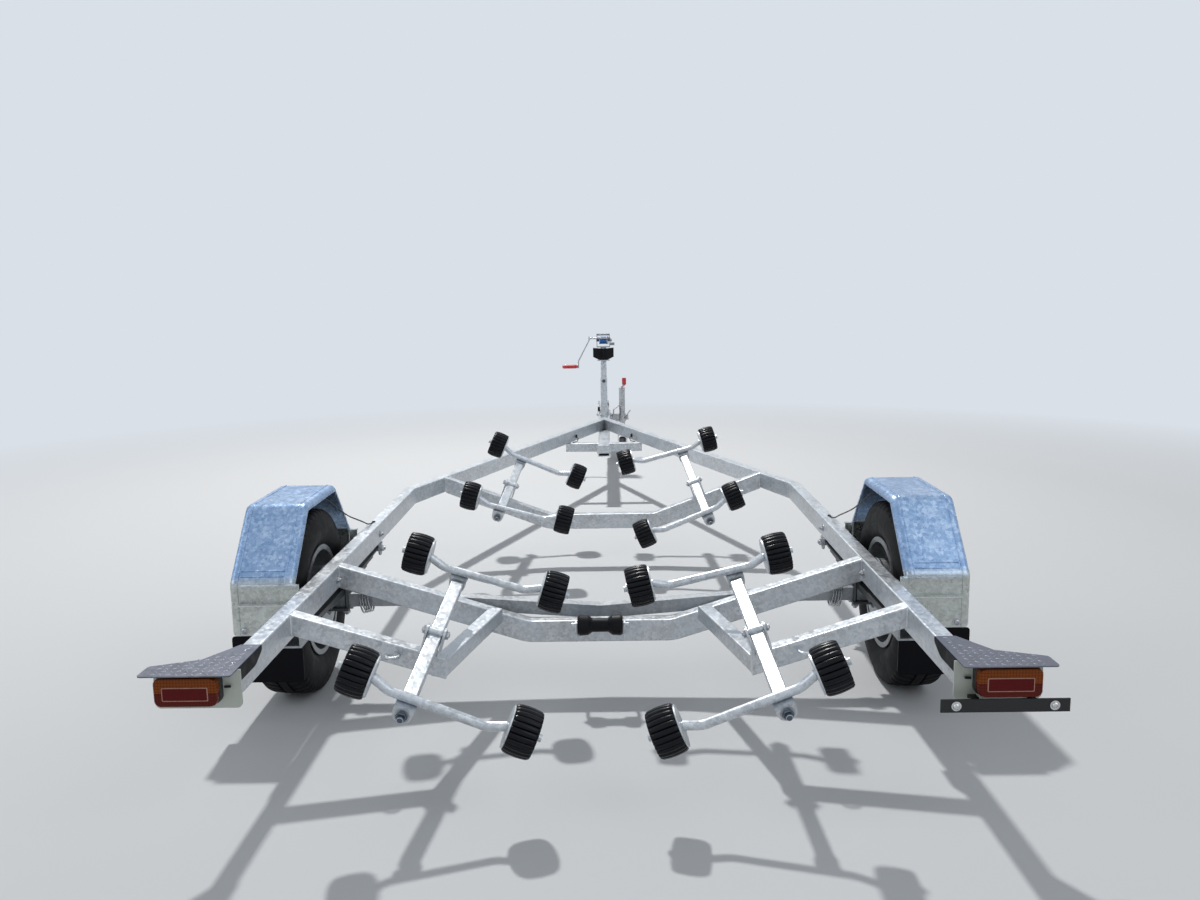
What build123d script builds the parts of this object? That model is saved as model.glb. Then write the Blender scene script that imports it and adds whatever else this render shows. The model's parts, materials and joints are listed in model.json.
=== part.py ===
from build123d import *
import math
import os

# Boat trailer with rocking roller cradles, single braked axle, winch post and jockey wheel.
# Millimetres. +X right, +Y towards the hitch, +Z up, floor at Z = 0.

# Overall stations, measured along the trailer from the wheel axle
TAIL = -1026.0
BEND = 1265.0
TIP = 3760.0
FRONT_CROSS_AT = 3100.0
POST_AT = 4150.0
JOCKEY_AT = 4760.0
BALL_AT = 5180.0

# Road wheels: radii, and distances out from the wheel's middle
TYRE_R = 318.0
TYRE_W = 180.0
TYRE_AT = 1045.0
WHEEL_Z = TYRE_R
RIM_R = 178.0
RIM_W = 158.0
RIM_T = 6.0
RIM_LIP = 12.0
RIM_LIP_T = 4.0
WEB_IN = -1.0
WEB_T = 6.0
WEB_EDGE_R = 160.0
WEB_RIDGE_R = 100.0
WEB_RIDGE_OUT = 17.0
WEB_SEAT_R = 60.0
WEB_SEAT_OUT = 11.0
HUB_R = 36.0
CAP_R = 30.0
CAP_OUT = 55.0
DRUM_R = 115.0
DRUM_FACE_IN = 15.0
SPINDLE_R = 17.0
HAND_HOLES = 10
HAND_HOLE_R = 13.0
HAND_HOLE_AT = 137.0

# Main rails
RAIL_IN = 880.0
RAIL_W = 50.0
RAIL_H = 75.0
RAIL_TOP = WHEEL_Z + 142.0
RAIL_OUT = RAIL_IN + RAIL_W
RAIL_LOW = RAIL_TOP - RAIL_H
RAIL_BEND_R = 60.0
TUBE_EDGE_R = 5.0

# Drawbar, a hollow square tube under the rails' front ends
DRAWBAR_TOP = RAIL_LOW
DRAWBAR_W = 75.0
DRAWBAR_WALL = 5.0
DRAWBAR_BACK = 3020.0
DRAWBAR_FRONT = 4860.0
DRAWBAR_CAP = 20.0
FRONT_CROSS_H = 55.0
FRONT_CROSS_SEAT = 15.0

# Cross-members that drop to a V for the hull
CROSS_W = 50.0
CROSS_H = 75.0
CROSS_BEND_R = 90.0
AXLE_CROSS_BACK = -91.0
AXLE_CROSS_FLAT = 240.0
AXLE_CROSS_LOW = RAIL_TOP - 203.0
BEND_CROSS_BACK = 1540.0
BEND_CROSS_FLAT = 257.0
BEND_CROSS_LOW = RAIL_TOP - 198.0
REAR_STUB_BACK = -610.0
REAR_STUB_H = 60.0
REAR_STUB_END = 442.0
REAR_STUB_SLOPE = 17.4
BRACE_W = 50.0
BRACE_H = 50.0
BRACE_DOWN = 18.0
BRACE_END_X = 331.0
HOOK_AT = 590.0
HOOK_R = 5.0

# Keel roller behind the cross-member by the axle
KEEL_W = 150.0
KEEL_R = 35.0
KEEL_WAIST_R = 23.0
KEEL_BEHIND = 69.0
KEEL_PIN_R = 8.0
KEEL_PLATE_T = 5.0

# Axle
AXLE_W = 45.0
AXLE_DROP = 53.0
AXLE_LEVEL_FROM = 700.0
AXLE_END = TYRE_AT - 90.0
SPINDLE_END = TYRE_AT + 43.0

# Leaf springs
SPRING_X = (RAIL_IN + RAIL_OUT) / 2
SPRING_W = 45.0
SPRING_HALF = 500.0
SPRING_SAG = 9.0
LEAF_T = 6.0
LEAF_COUNT = 4
LEAF_STEP = 0.2
EYE_R = 13.0
U_BOLT_R = 6.0
U_BOLT_AT = 32.0
HANGER_T = 6.0
HANGER_LOW = RAIL_LOW - 50.0

# Mudguards and flaps
GUARD_W = 202.0
GUARD_IN = TYRE_AT + 4.0 - GUARD_W / 2
GUARD_OUT = GUARD_IN + GUARD_W
GUARD_TOP = WHEEL_Z + TYRE_R + 54.0
GUARD_HALF = TYRE_R + 44.0
GUARD_TOP_HALF = GUARD_HALF - 190.0
GUARD_KNEE = RAIL_TOP + 22.0
GUARD_FOOT = RAIL_TOP - 148.0
GUARD_FOLD_R = 34.0
GUARD_T = 3.0
GUARD_ROLL_R = 18.0
GUARD_LIP = 23.0
GUARD_CORNER_R = 15.0
GUARD_STAY_T = 5.0
GUARD_STAY_LIP = 19.0
GUARD_STAY_H = 62.0
GUARD_STAY_TOP = RAIL_TOP + 18.0
GUARD_STAY_OUT = GUARD_OUT - 34.0
FLAP_T = 6.0
FLAP_IN = GUARD_IN - 16.0
FLAP_OUT = GUARD_OUT + 2.0
FLAP_TOP = RAIL_TOP - 60.0
FLAP_FOOT = RAIL_TOP - 302.0

# Running fits
FIT = 0.06
PIN_END = 10.0

# Walking beams
PIVOT_R = 8.0
PIVOT_TUBE_R = 12.0
BEAM_W = 40.0
BEAM_H = 40.0
BEAM_HALF = 312.0
BEAM_BELOW_PIVOT = 22.0
BRACKET_GAP = 3.0
BRACKET_T = 6.0
BRACKET_HALF = 24.0
BRACKET_SUNK = 3.0
BEAM_EDGE_R = 4.0

# Roller arms
ARM_AT = 347.0
ARM_PIN_R = 9.0
ARM_TUBE_R = 13.0
ARM_MAIN_UP = 38.0
ARM_END_UP = 60.0
ARM_OUTER_END = 104.0
ARM_INNER_END = 262.0
ARM_RISE_RUN = 49.0
ARM_BEND_R = 60.0
SADDLE_W = 54.0
SADDLE_HALF = 28.0
SADDLE_T = 5.0
LUG_R = 21.0
NUT_R = 15.0
NUT_T = 9.0
WELD = 0.8

# Rollers: ribbed rubber on a pin, with a steel disc on the arm side
DISC_R = 56.0
DISC_T = 4.0
ROLLER_R = 66.0
ROLLER_W = 74.0
ROLLER_CROWN = 4.0
ROLLER_PIN_R = 10.0
ROLLER_GAP = 1.0
RIB_COUNT = 20
RIB_GROOVE_R = 3.2
WASHER_R = 17.0

# Each walking beam: side (-1 left, +1 right), station, distance out, roll of the slope that
# carries it, resting tilt in degrees with its nose up, and height of its pivot above the slope
REAR_AT = REAR_STUB_BACK + CROSS_W / 2
FRONT_AT = BEND_CROSS_BACK + CROSS_W / 2
BEAMS = [
    dict(name="rear_left", side=-1, at=REAR_AT, out=469.0, roll=17.4, tilt=12.0, up=60.0),
    dict(name="rear_right", side=1, at=REAR_AT, out=453.0, roll=17.4, tilt=12.0, up=60.0),
    dict(name="front_left", side=-1, at=FRONT_AT, out=458.0, roll=20.2, tilt=10.7, up=72.0),
    dict(name="front_right", side=1, at=FRONT_AT, out=458.0, roll=20.2, tilt=16.6, up=72.0),
]

# How far each arm has rocked from its cross-member's slope, in degrees, inner end down
ARM_ROCK = {
    "rear_left_back": 5.1,
    "rear_left_fore": -0.4,
    "rear_right_back": 4.6,
    "rear_right_fore": -4.8,
    "front_left_back": -5.0,
    "front_left_fore": 3.1,
    "front_right_back": 2.9,
    "front_right_fore": -5.7,
}

# Winch post, bow block and winch
POST_W = 50.0
POST_TOP = DRAWBAR_TOP + 337.0
POST_INNER_W = 43.0
POST_INNER_TOP = DRAWBAR_TOP + 570.0
POST_FOOT_T = 8.0
CHEEK_T = 6.0
CHEEK_TOP = DRAWBAR_TOP + 85.0
BOW_BLOCK_W = 152.0
BOW_BLOCK_TOP = POST_INNER_TOP - 3.0
BOW_BLOCK_LOW = BOW_BLOCK_TOP - 90.0
BOW_BLOCK_D = 72.0
WINCH_W = 98.0
WINCH_TOP = POST_INNER_TOP + 103.0
WINCH_BACK = 52.0
WINCH_FRONT = 62.0
WINCH_PLATE_T = 4.0
WINCH_SHAFT_R = 9.0
CRANK_SHAFT_R = 7.0
DRUM_UP = 50.0
STRAP_ROLL_R = 27.0
STRAP_W = 50.0
CRANK_BEHIND = 35.0
CRANK_UP = 67.0
CRANK_DROP = 208.0
CRANK_OUT = 82.0
GRIP_R = 14.0
GRIP_L = 116.0

# Jockey wheel
JOCKEY_X = 142.0
JOCKEY_TUBE_R = 24.0
JOCKEY_LEG_R = 20.0
JOCKEY_TUBE_FOOT = DRAWBAR_TOP - 105.0
JOCKEY_TUBE_TOP = DRAWBAR_TOP + 200.0
JOCKEY_LEG_FOOT = 216.0
JOCKEY_LEG_TOP = JOCKEY_TUBE_TOP - 135.0
JOCKEY_WHEEL_R = 98.0
JOCKEY_WHEEL_W = 56.0
JOCKEY_PIN_R = 7.0
JOCKEY_TRAIL = 45.0
SWIVEL_R = 9.0
FORK_TOP = 213.0
FORK_T = 5.0
KNOB_R = 16.0
KNOB_TOP = JOCKEY_TUBE_TOP + 75.0

# Coupling with its overrun brake
BALL_R = 25.5
COUPLING_R = 27.0
COUPLING_UP = 34.0
BELLOWS_RINGS = 6
LEVER_X = -46.0

# Tail
PLATE_T = 4.0
LAMP_W = 158.0
LAMP_H = 76.0
LAMP_D = 40.0
LAMP_X = RAIL_OUT + 64.0
LAMP_Z = RAIL_TOP - 43.0
LAMP_PLATE_IN = RAIL_IN - 10.0
LAMP_PLATE_OUT = RAIL_OUT + 155.0
LAMP_PLATE_LOW = RAIL_TOP - 98.0
GUARD_PLATE_T = 3.0
LAMP_GUARD_OUT = LAMP_PLATE_OUT + 20.0
LAMP_GUARD_BACK = TAIL - 52.0
STRIP_W = 310.0
STRIP_AT = LAMP_X - 12.0
STRIP_HIGH = LAMP_PLATE_LOW + 16.0
STRIP_LOW = STRIP_HIGH - 33.0
STRIP_T = 4.0
STRIP_TAB_AT = 0.22 * STRIP_W
STRIP_TAB_W = 20.0
WIRE_R = 2.5

DRUM_Z = POST_INNER_TOP + DRUM_UP
CRANK_Z = POST_INNER_TOP + CRANK_UP
CRANK_AT = POST_AT - CRANK_BEHIND
KEEL_AT = AXLE_CROSS_BACK - KEEL_BEHIND
KEEL_Z = AXLE_CROSS_LOW + 8.0
COUPLING_NOSE = BALL_AT + 48.0

# The model's origin lies under the middle of its length: every station is shifted by this
SHIFT = -(COUPLING_NOSE + LAMP_GUARD_BACK) / 2.0


def station(along):
    """Model Y of a station measured from the wheel axle."""
    return along + SHIFT


# Shapes given by stations and heights


def block(x0, x1, y0, y1, z0, z1):
    """Box between two corners, with Y given as stations."""
    size = (abs(x1 - x0), abs(y1 - y0), abs(z1 - z0))
    centre = ((x0 + x1) / 2, station((y0 + y1) / 2), (z0 + z1) / 2)
    return Pos(*centre) * Box(*size)


def outline_face(corners):
    """Flat face from corners (a, b) or (a, b, radius), where a radius rounds that corner."""
    spots = [Vector(corner[0], corner[1], 0) for corner in corners]
    radii = [corner[2] if len(corner) > 2 else 0.0 for corner in corners]
    count = len(corners)
    bends = []
    for i, here in enumerate(spots):
        if radii[i] == 0.0:
            bends.append((here, here, here))
            continue
        back = (spots[i - 1] - here).normalized()
        ahead = (spots[(i + 1) % count] - here).normalized()
        half = math.acos(max(-1.0, min(1.0, back.dot(ahead)))) / 2
        run = radii[i] / math.tan(half)
        deep = radii[i] / math.sin(half) - radii[i]
        bends.append((here + back * run, here + (back + ahead).normalized() * deep, here + ahead * run))
    edges = []
    for i, (start, middle, stop) in enumerate(bends):
        if radii[i] > 0.0:
            edges.append(Edge.make_three_point_arc(start, middle, stop))
        edges.append(Edge.make_line(stop, bends[(i + 1) % count][0]))
    return Face(Wire(edges))


def prism_y(corners, y0, y1):
    """Outline in X and Z, extruded between two stations."""
    plane = Plane(origin=(0, station(y0), 0), x_dir=(1, 0, 0), z_dir=(0, -1, 0))
    return extrude(plane * outline_face(corners), amount=y1 - y0, dir=(0, 1, 0))


def prism_x(corners, x0, x1):
    """Outline in station and Z, extruded along X."""
    plane = Plane(origin=(x0, SHIFT, 0), x_dir=(0, 1, 0), z_dir=(1, 0, 0))
    return extrude(plane * outline_face(corners), amount=x1 - x0, dir=(1, 0, 0))


def prism_z(corners, z0, z1):
    """Outline in X and station, extruded upwards."""
    plane = Plane(origin=(0, SHIFT, z0), x_dir=(1, 0, 0), z_dir=(0, 0, 1))
    return extrude(plane * outline_face(corners), amount=z1 - z0, dir=(0, 0, 1))


def rod_x(x0, x1, y, z, r):
    """Round bar along X, at a station and a height."""
    return Pos((x0 + x1) / 2, station(y), z) * Rot(0, 90, 0) * Cylinder(r, abs(x1 - x0))


def rod_y(x, y0, y1, z, r):
    """Round bar along Y between two stations."""
    return Pos(x, station((y0 + y1) / 2), z) * Rot(90, 0, 0) * Cylinder(r, abs(y1 - y0))


def rod_z(x, y, z0, z1, r):
    """Upright round bar at a station."""
    return Pos(x, station(y), (z0 + z1) / 2) * Cylinder(r, abs(z1 - z0))


def spun_x(profile, y, z):
    """Disc or ring from (x, radius) points, spun about a line along X."""
    ring = revolve(make_face(Polyline(*[(x, r, 0) for x, r in profile], close=True)), Axis.X, 360)
    return Pos(0, station(y), z) * ring


def bent_tube(route, radius, bend_radius):
    """Tube along straight runs with round bends."""
    path = FilletPolyline(*route, radius=bend_radius)
    start = Plane(origin=path @ 0, z_dir=path % 0)
    return sweep(start * Circle(radius), path=path)


def cord(route, radius):
    """Round cord through points, each bend as wide as the shorter run beside it allows."""
    spots = [Vector(*spot) for spot in route]
    radii = []
    for before, here, after in zip(spots, spots[1:], spots[2:]):
        back = before - here
        ahead = after - here
        turn = math.pi - math.acos(back.normalized().dot(ahead.normalized()))
        radii.append(0.45 * min(back.length, ahead.length) / math.tan(turn / 2))
    path = FilletPolyline(*route, radius=radii)
    print("cord of", round(path.length), "mm, bend radii", [round(bend) for bend in radii])
    start = Plane(origin=path @ 0, z_dir=path % 0)
    return sweep(start * Circle(radius), path=path)


def rounded_tube(shape, caps, ends):
    """Square tube with its long edges rounded.

    The long edges bound the two faces furthest along the axis `caps`. Edges of the cut ends,
    the two faces furthest along the axis `ends`, stay sharp.
    """
    sides = shape.faces().sort_by(caps)
    cuts = shape.faces().sort_by(ends)
    sharp = [edge.center() for face in (cuts[0], cuts[-1]) for edge in face.edges()]
    edges = [edge for face in (sides[0], sides[-1]) for edge in face.edges()
             if all((edge.center() - spot).length > 0.01 for spot in sharp)]
    return fillet(edges, TUBE_EDGE_R)


def mirror_x(shape):
    return mirror(shape, about=Plane.YZ)


def both_sides(shape):
    return Compound(children=[shape, mirror_x(shape)])


def save(shape, node):
    export_step(shape, "parts/" + node + ".step")


# Frame


def rail_inner_x(along):
    """Distance of a rail's inner face from the middle at a station."""
    if along <= BEND:
        return RAIL_IN
    return RAIL_IN * (TIP - along) / (TIP - BEND)


def rail():
    """Right main rail, bent inwards to meet the left one on the drawbar."""
    turn = math.atan2(RAIL_IN, TIP - BEND)
    out_at_bend = BEND + RAIL_W * math.tan(turn / 2)
    tip_out = TIP + RAIL_W / math.sin(turn)
    outline = [
        (RAIL_IN, TAIL),
        (RAIL_OUT, TAIL),
        (RAIL_OUT, out_at_bend, RAIL_BEND_R + RAIL_W),
        (0, tip_out),
        (0, TIP),
        (RAIL_IN, BEND, RAIL_BEND_R),
    ]
    shape = prism_z(outline, RAIL_LOW, RAIL_TOP)
    tail_edges = shape.faces().sort_by(Axis.Y)[0].edges()
    tip_edges = shape.faces().sort_by(Axis.X)[0].edges()
    sharp = [edge.center() for edge in tail_edges + tip_edges]
    edges = [edge for face in shape.faces().filter_by(Axis.Z) for edge in face.edges()
             if all((edge.center() - spot).length > 0.01 for spot in sharp)]
    return fillet(edges, TUBE_EDGE_R)


def dropped_cross(back, flat, low):
    """Cross-member from rail to rail, sloping down to a flat middle with bent corners."""
    fore = back + CROSS_W
    reach = rail_inner_x(back)
    tilt = math.atan((RAIL_TOP - low) / (reach - flat))
    under = CROSS_H * math.tan(tilt / 2)
    down = CROSS_H / math.cos(tilt)
    lower_r = CROSS_BEND_R + CROSS_H
    outline = [
        (-reach, RAIL_TOP),
        (-flat, low, CROSS_BEND_R),
        (flat, low, CROSS_BEND_R),
        (reach, RAIL_TOP),
        (reach, RAIL_TOP - down),
        (flat + under, low - CROSS_H, lower_r),
        (-flat - under, low - CROSS_H, lower_r),
        (-reach, RAIL_TOP - down),
    ]
    shape = prism_y(outline, back, fore)
    end = rail_inner_x(fore)
    between_rails = [(-reach, back), (reach, back), (end, fore), (-end, fore)]
    return rounded_tube(shape & prism_z(between_rails, 0, RAIL_TOP), Axis.Y, Axis.X)


def drawbar():
    """Square tube, open at its back, with the front cross-member welded through it."""
    half = DRAWBAR_W / 2
    inner = half - DRAWBAR_WALL
    low = DRAWBAR_TOP - DRAWBAR_W
    tube = block(-half, half, DRAWBAR_BACK, DRAWBAR_FRONT, low, DRAWBAR_TOP)
    tube = rounded_tube(tube, Axis.Z, Axis.Y)
    fore = FRONT_CROSS_AT + CROSS_W
    near = rail_inner_x(FRONT_CROSS_AT) + FRONT_CROSS_SEAT
    far = rail_inner_x(fore) + FRONT_CROSS_SEAT
    outline = [(-near, FRONT_CROSS_AT), (near, FRONT_CROSS_AT), (far, fore), (-far, fore)]
    cross = prism_z(outline, DRAWBAR_TOP - FRONT_CROSS_H, DRAWBAR_TOP)
    cross = rounded_tube(cross, Axis.Z, Axis.X)
    hollow = block(-inner, inner, DRAWBAR_BACK - 1, DRAWBAR_FRONT - DRAWBAR_CAP,
                   low + DRAWBAR_WALL, DRAWBAR_TOP - DRAWBAR_WALL)
    return tube + cross - hollow


def stub_top(x):
    """Height of a rear stub's top at a distance from the middle."""
    return RAIL_TOP - (RAIL_IN - x) * math.tan(math.radians(REAR_STUB_SLOPE))


def rear_stub():
    """Right rear stub, its brace to the axle's cross-member and a tie-down hook."""
    deep = REAR_STUB_H / math.cos(math.radians(REAR_STUB_SLOPE))
    top_in = stub_top(REAR_STUB_END)
    fore = REAR_STUB_BACK + CROSS_W
    outline = [
        (RAIL_IN, RAIL_TOP),
        (REAR_STUB_END, top_in),
        (REAR_STUB_END, top_in - deep),
        (RAIL_IN, RAIL_TOP - deep),
    ]
    stub = rounded_tube(prism_y(outline, REAR_STUB_BACK, fore), Axis.Y, Axis.X)
    brace_top = top_in - BRACE_DOWN
    brace_plan = [
        (REAR_STUB_END, fore - 10),
        (REAR_STUB_END + BRACE_W, fore - 10),
        (BRACE_END_X + BRACE_W, AXLE_CROSS_BACK),
        (BRACE_END_X, AXLE_CROSS_BACK),
    ]
    brace = rounded_tube(prism_z(brace_plan, brace_top - BRACE_H, brace_top), Axis.Z, Axis.Y)
    hook_z = stub_top(HOOK_AT) - deep / 2
    loop = [
        (HOOK_AT - 18, station(REAR_STUB_BACK + 2), hook_z),
        (HOOK_AT - 18, station(REAR_STUB_BACK - 32), hook_z),
        (HOOK_AT + 18, station(REAR_STUB_BACK - 32), hook_z),
        (HOOK_AT + 18, station(REAR_STUB_BACK + 2), hook_z),
    ]
    return stub + brace + bent_tube(loop, HOOK_R, 16)


def keel_carrier():
    """Two plates and a fixed pin for the keel roller."""
    shape = rod_x(-KEEL_W / 2 - 20, KEEL_W / 2 + 20, KEEL_AT, KEEL_Z, KEEL_PIN_R)
    for side in (-1, 1):
        x0 = side * (KEEL_W / 2 + BRACKET_GAP)
        x1 = x0 + side * KEEL_PLATE_T
        outline = [
            (AXLE_CROSS_BACK, AXLE_CROSS_LOW - 70),
            (AXLE_CROSS_BACK, AXLE_CROSS_LOW - 5),
            (KEEL_AT - 20, KEEL_Z + 22, 18),
            (KEEL_AT - 22, KEEL_Z - 22, 18),
        ]
        shape += prism_x(outline, min(x0, x1), max(x0, x1))
    return shape


def keel_roller():
    half = KEEL_W / 2
    bore = KEEL_PIN_R + FIT
    right = [(26, KEEL_WAIST_R), (40, KEEL_R - 2), (half - 8, KEEL_R), (half, KEEL_R - 5), (half, bore)]
    left = [(-x, r) for x, r in reversed(right)]
    return spun_x(left + right, KEEL_AT, KEEL_Z)


# Walking beams, arms and rollers


def cross_top(beam):
    """Height of the slope under a beam."""
    if beam["at"] < 0:
        return stub_top(beam["out"])
    reach = rail_inner_x(BEND_CROSS_BACK)
    slope = (RAIL_TOP - BEND_CROSS_LOW) / (reach - BEND_CROSS_FLAT)
    return BEND_CROSS_LOW + (beam["out"] - BEND_CROSS_FLAT) * slope


def level_frame(beam):
    """Frame at a beam's pivot before the beam is tilted: X along the slope, Z off it."""
    side = beam["side"]
    z = cross_top(beam) + beam["up"] / math.cos(math.radians(beam["roll"]))
    return Pos(side * beam["out"], station(beam["at"]), z) * Rot(0, -side * beam["roll"], 0)


def beam_frame(beam):
    return level_frame(beam) * Rot(beam["tilt"], 0, 0)


def arm_frame(beam, end):
    """Frame at an arm's pivot pin: end is -1 for the back arm, +1 for the fore arm."""
    name = beam["name"] + ("_back" if end < 0 else "_fore")
    rock = Rot(0, -beam["side"] * ARM_ROCK[name], 0)
    return beam_frame(beam) * Pos(0, end * ARM_AT, -BEAM_BELOW_PIVOT) * rock


def beam_bracket(beam):
    """Two plates on the cross-member with the bolt that the beam tilts on."""
    near = BEAM_W / 2 + BRACKET_GAP
    far = near + BRACKET_T
    foot = -beam["up"] - BRACKET_SUNK
    shape = Rot(0, 90, 0) * Cylinder(PIVOT_R, 2 * (far + PIN_END))
    plane = Plane(origin=(0, 0, 0), x_dir=(0, 1, 0), z_dir=(1, 0, 0))
    corner_r = 18.0
    outline = [
        (-BRACKET_HALF, foot),
        (BRACKET_HALF, foot),
        (BRACKET_HALF, 18, corner_r),
        (-BRACKET_HALF, 18, corner_r),
    ]
    face = plane * outline_face(outline)
    for start in (near, -far):
        shape += Pos(start, 0, 0) * extrude(face, amount=BRACKET_T, dir=(1, 0, 0))
    return level_frame(beam) * shape


def walking_beam(beam):
    """Square tube with a pivot tube across it and a bolt with its nut at each end."""
    tube = Box(BEAM_W, 2 * BEAM_HALF, BEAM_H)
    shape = Pos(0, 0, -BEAM_BELOW_PIVOT) * fillet(tube.edges().filter_by(Axis.Y), BEAM_EDGE_R)
    across = Rot(0, 90, 0)
    shape += across * Cylinder(PIVOT_TUBE_R, BEAM_W)
    shape -= across * Cylinder(PIVOT_R + FIT, BEAM_W + 2)
    root = BEAM_HALF - 6
    nut_at = ARM_AT + SADDLE_HALF + 2
    tip = nut_at + NUT_T + PIN_END
    along = Rot(90, 0, 0)
    for end in (-1, 1):
        pin = Pos(0, end * (root + tip) / 2, -BEAM_BELOW_PIVOT) * along * Cylinder(ARM_PIN_R, tip - root)
        nut = Pos(0, end * (nut_at + NUT_T / 2), -BEAM_BELOW_PIVOT) * along * extrude(
            RegularPolygon(NUT_R, 6), amount=NUT_T / 2, both=True)
        shape += pin + nut
    return beam_frame(beam) * shape


def saddle():
    """Folded bracket under an arm's tube: a web and two rounded lugs that hang on the bolt."""
    web_top = ARM_MAIN_UP - ARM_TUBE_R + WELD
    web = Pos(0, 0, web_top - SADDLE_T / 2) * Box(SADDLE_W, 2 * SADDLE_HALF, SADDLE_T)
    half = SADDLE_W / 2
    plane = Plane(origin=(0, 0, 0), x_dir=(1, 0, 0), z_dir=(0, -1, 0))
    outline = [
        (-half, web_top - SADDLE_T / 2),
        (half, web_top - SADDLE_T / 2),
        (half, 8, 10),
        (LUG_R, -LUG_R, LUG_R - 1),
        (-LUG_R, -LUG_R, LUG_R - 1),
        (-half, 8, 10),
    ]
    lug = extrude(plane * outline_face(outline), amount=SADDLE_T, dir=(0, 1, 0))
    shape = web
    for start in (-SADDLE_HALF, SADDLE_HALF - SADDLE_T):
        shape += Pos(0, start, 0) * lug
    return shape - Rot(90, 0, 0) * Cylinder(ARM_PIN_R + FIT, 2 * SADDLE_HALF + 2)


def arm_shape():
    """Arm about its own pivot bolt, with its inner end towards +X."""
    route = [
        (-ARM_OUTER_END, 0, ARM_END_UP),
        (-ARM_OUTER_END + ARM_RISE_RUN, 0, ARM_MAIN_UP),
        (ARM_INNER_END - ARM_RISE_RUN, 0, ARM_MAIN_UP),
        (ARM_INNER_END, 0, ARM_END_UP),
    ]
    length = ARM_OUTER_END + ARM_INNER_END + DISC_T
    middle = (ARM_INNER_END - ARM_OUTER_END) / 2
    between_discs = Pos(middle, 0, ARM_END_UP) * Box(length, 200, 200)
    shape = (bent_tube(route, ARM_TUBE_R, ARM_BEND_R) & between_discs) + saddle()
    across = Rot(0, 90, 0)
    far_side = DISC_T + 2 * ROLLER_GAP + ROLLER_W
    root = 6.0
    washer_t = 3.0
    for x, outward in ((-ARM_OUTER_END, -1), (ARM_INNER_END, 1)):
        reach = far_side + washer_t + PIN_END
        for start, stop, radius in ((0, DISC_T, DISC_R), (-root, reach, ROLLER_PIN_R),
                                    (far_side, far_side + washer_t, WASHER_R)):
            centre = x + outward * (start + stop) / 2
            shape += Pos(centre, 0, ARM_END_UP) * across * Cylinder(radius, stop - start)
    return shape


def roller_place(end):
    """Middle of a roller along its arm: end is -1 for the outer roller, +1 for the inner."""
    reach = ARM_OUTER_END if end < 0 else ARM_INNER_END
    return end * (reach + DISC_T + ROLLER_GAP + ROLLER_W / 2)


def roller_shape():
    """Crowned rubber roller with grooves across it, about X."""
    half = ROLLER_W / 2
    bore = ROLLER_PIN_R + FIT
    shoulder = half * 0.55
    profile = [
        (-half, bore),
        (-half, ROLLER_R - ROLLER_CROWN),
        (-shoulder, ROLLER_R),
        (shoulder, ROLLER_R),
        (half, ROLLER_R - ROLLER_CROWN),
        (half, bore),
    ]
    shape = revolve(make_face(Polyline(*[(x, r, 0) for x, r in profile], close=True)), Axis.X, 360)
    groove = Pos(0, 0, ROLLER_R + 1) * Rot(0, 90, 0) * Rot(0, 0, 45) * Box(
        2 * RIB_GROOVE_R, 2 * RIB_GROOVE_R, ROLLER_W + 2)
    grooves = [Rot(360.0 * i / RIB_COUNT, 0, 0) * groove for i in range(RIB_COUNT)]
    return shape - grooves


# Road wheels, axle and springs


def tyre():
    half = TYRE_W / 2
    bead = half - 18
    shoulder = half - 12
    tread = shoulder - 16
    foot = RIM_R + 0.4
    bulge = (RIM_R + TYRE_R) / 2 - 4
    bead_top = foot + 14
    shoulder_r = TYRE_R - 22
    tread_r = TYRE_R - 4
    corner = (shoulder - 5, TYRE_R - 10)
    with BuildSketch(Plane.XY) as profile:
        with BuildLine():
            Line((-bead, foot), (-bead, bead_top))
            ThreePointArc((-bead, bead_top), (-half, bulge), (-shoulder, shoulder_r))
            ThreePointArc((-shoulder, shoulder_r), (-corner[0], corner[1]), (-tread, tread_r))
            ThreePointArc((-tread, tread_r), (0, TYRE_R), (tread, tread_r))
            ThreePointArc((tread, tread_r), corner, (shoulder, shoulder_r))
            ThreePointArc((shoulder, shoulder_r), (half, bulge), (bead, bead_top))
            Line((bead, bead_top), (bead, foot))
            Line((bead, foot), (-bead, foot))
        make_face()
    return Pos(TYRE_AT, station(0), WHEEL_Z) * revolve(profile.sketch, Axis.X, 360)


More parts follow.
